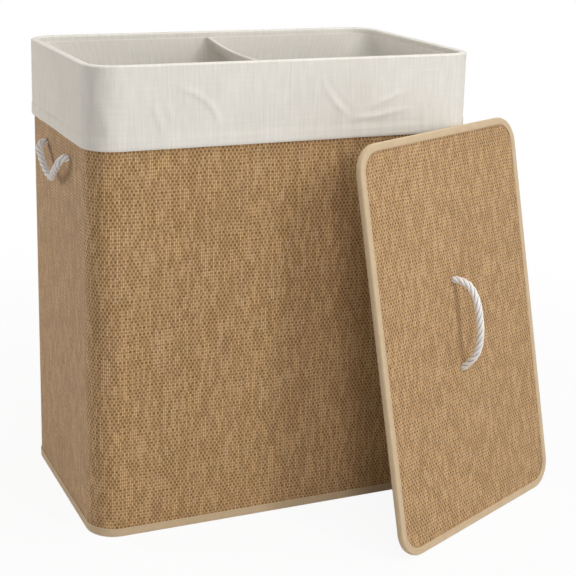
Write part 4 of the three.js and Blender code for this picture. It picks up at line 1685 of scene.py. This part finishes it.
# %% Divider tape
divider_low, divider_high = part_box("divider_binding")
divider_leg = 13 * MM
divider_length = divider_high.y - divider_low.y
divider_profile = hairpin(2 * (cloth_thickness + touch_gap), divider_leg, leg_steps=5)
divider_shares = np.linspace(0, 1, 61)
divider_rows = [[(across, divider_low.y + divider_length * share, divider_high.z - sag_at(share) - depth)
                 for depth, across in divider_profile]
                for share in divider_shares]
divider = grid_piece("divider_tape", divider_rows, ring_lengths(divider_profile),
                     divider_shares * divider_length, liner_linen, ring_across=True)
dress(divider, "liner", ["divider_binding"])

# %% [markdown]
# ## The base
#
# Nothing but the underside shows the base cloth, which is sewn into the foot. It is cloth, so it gets a
# cloth's thickness and finish as well. One sheet and a modifier that thickens it are enough, because no
# edge of it shows.

# %% Base cloth
base_low, base_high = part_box("base_cloth")
base_radius = corner_radius - wall_thickness - tape_stand - touch_gap
base_flat = rounded_sheet(base_low, base_high, base_radius, 40, 30, 8, base_high.z)
base_points = base_flat.reshape(-1, 3)
base_mesh = bpy.data.meshes.new("base_panel")
base_mesh.from_pydata(base_points.tolist(), [], sheet_cells(*base_flat.shape[:2]))
map_flat(base_mesh, base_points, base_low)
base_panel = bpy.data.objects.new("base_panel", base_mesh)
scene.collection.objects.link(base_panel)
base_mesh.materials.append(plain_lining)
thicken = base_panel.modifiers.new("thickness", "SOLIDIFY")
thicken.thickness = base_high.z - base_low.z
thicken.offset = -1
applied(base_panel)
dress(base_panel, "hamper", ["base_cloth"])

# %% [markdown]
# ## The sleeves
#
# Each rod stands in a sewn tube of cloth, which is held to the inner corner by a wing of the same cloth.
# They show when the liner is out. A straight pipe would look like plastic, so the tube ripples a little
# along its height, as cloth does round a thin rod.

# %% Sleeves
sleeve_inner = 3 * MM
sleeve_outer = 4 * MM
ripple_depth = 0.25 * MM
ripple_room = 0.3 * MM
wing_outer_gap = 0.05 * MM
wing_thickness = 1 * MM
wing_half_angle = 0.7 * math.pi / 4
tube_sides = 24


def circle_ways(angles):
    """The ways straight out from a circle's middle."""
    return np.column_stack([np.cos(angles), np.sin(angles)])


def level_rows(outlines, heights):
    """Flat outlines set at their heights."""
    return [np.column_stack([ring, np.full(len(ring), height)]) for ring, height in zip(outlines, heights)]


def sleeve(corner, right, back):
    """A cloth tube for a rod, on a wing that follows the wall's round corner."""
    low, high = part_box(f"{corner}_sleeve")
    heights = np.linspace(low.z, high.z, 60)
    turn = math.atan2(back, right)
    centre = np.array([right * (hamper_width / 2 - corner_radius), back * (hamper_depth / 2 - corner_radius)])
    reach = corner_radius - wall_thickness - touch_gap
    wing_ways = circle_ways(turn + np.linspace(-wing_half_angle, wing_half_angle, 15))
    wing = np.vstack([centre + (reach - wing_outer_gap) * wing_ways,
                      centre + (reach - wing_thickness) * wing_ways[::-1]])
    wing_rows = level_rows([wing] * len(heights), heights)

    middle = centre + (reach - sleeve_outer) * circle_ways([turn])[0]
    angles = np.linspace(0, math.tau, tube_sides, endpoint=False)
    ripples = [ripple_depth * np.sin(height * 160 + angles * 2) * np.sin(height * 47) for height in heights]
    outside = [middle + (sleeve_outer - ripple_room + ripple)[:, None] * circle_ways(angles)
               for ripple in ripples]
    bore = middle + sleeve_inner * circle_ways(angles)
    tube_rows = level_rows(outside, heights) + level_rows([bore] * len(heights), heights[::-1])

    for part, rows in (("wing", wing_rows), ("tube", tube_rows)):
        along_at = lengths_along([row[0] for row in rows])
        if part == "tube":
            along_at = np.append(along_at, along_at[-1] + sleeve_outer - sleeve_inner)
        piece = grid_piece(f"{corner}_sleeve_{part}", rows, ring_lengths(rows[0][:, :2]), along_at,
                           plain_lining, ring_across=True, ring_along=part == "tube")
        dress(piece, "hamper", [f"{corner}_sleeve"] if part == "wing" else [])


for corner, right, back in (("front_left", -1, -1), ("front_right", 1, -1),
                            ("back_right", 1, 1), ("back_left", -1, 1)):
    sleeve(corner, right, back)
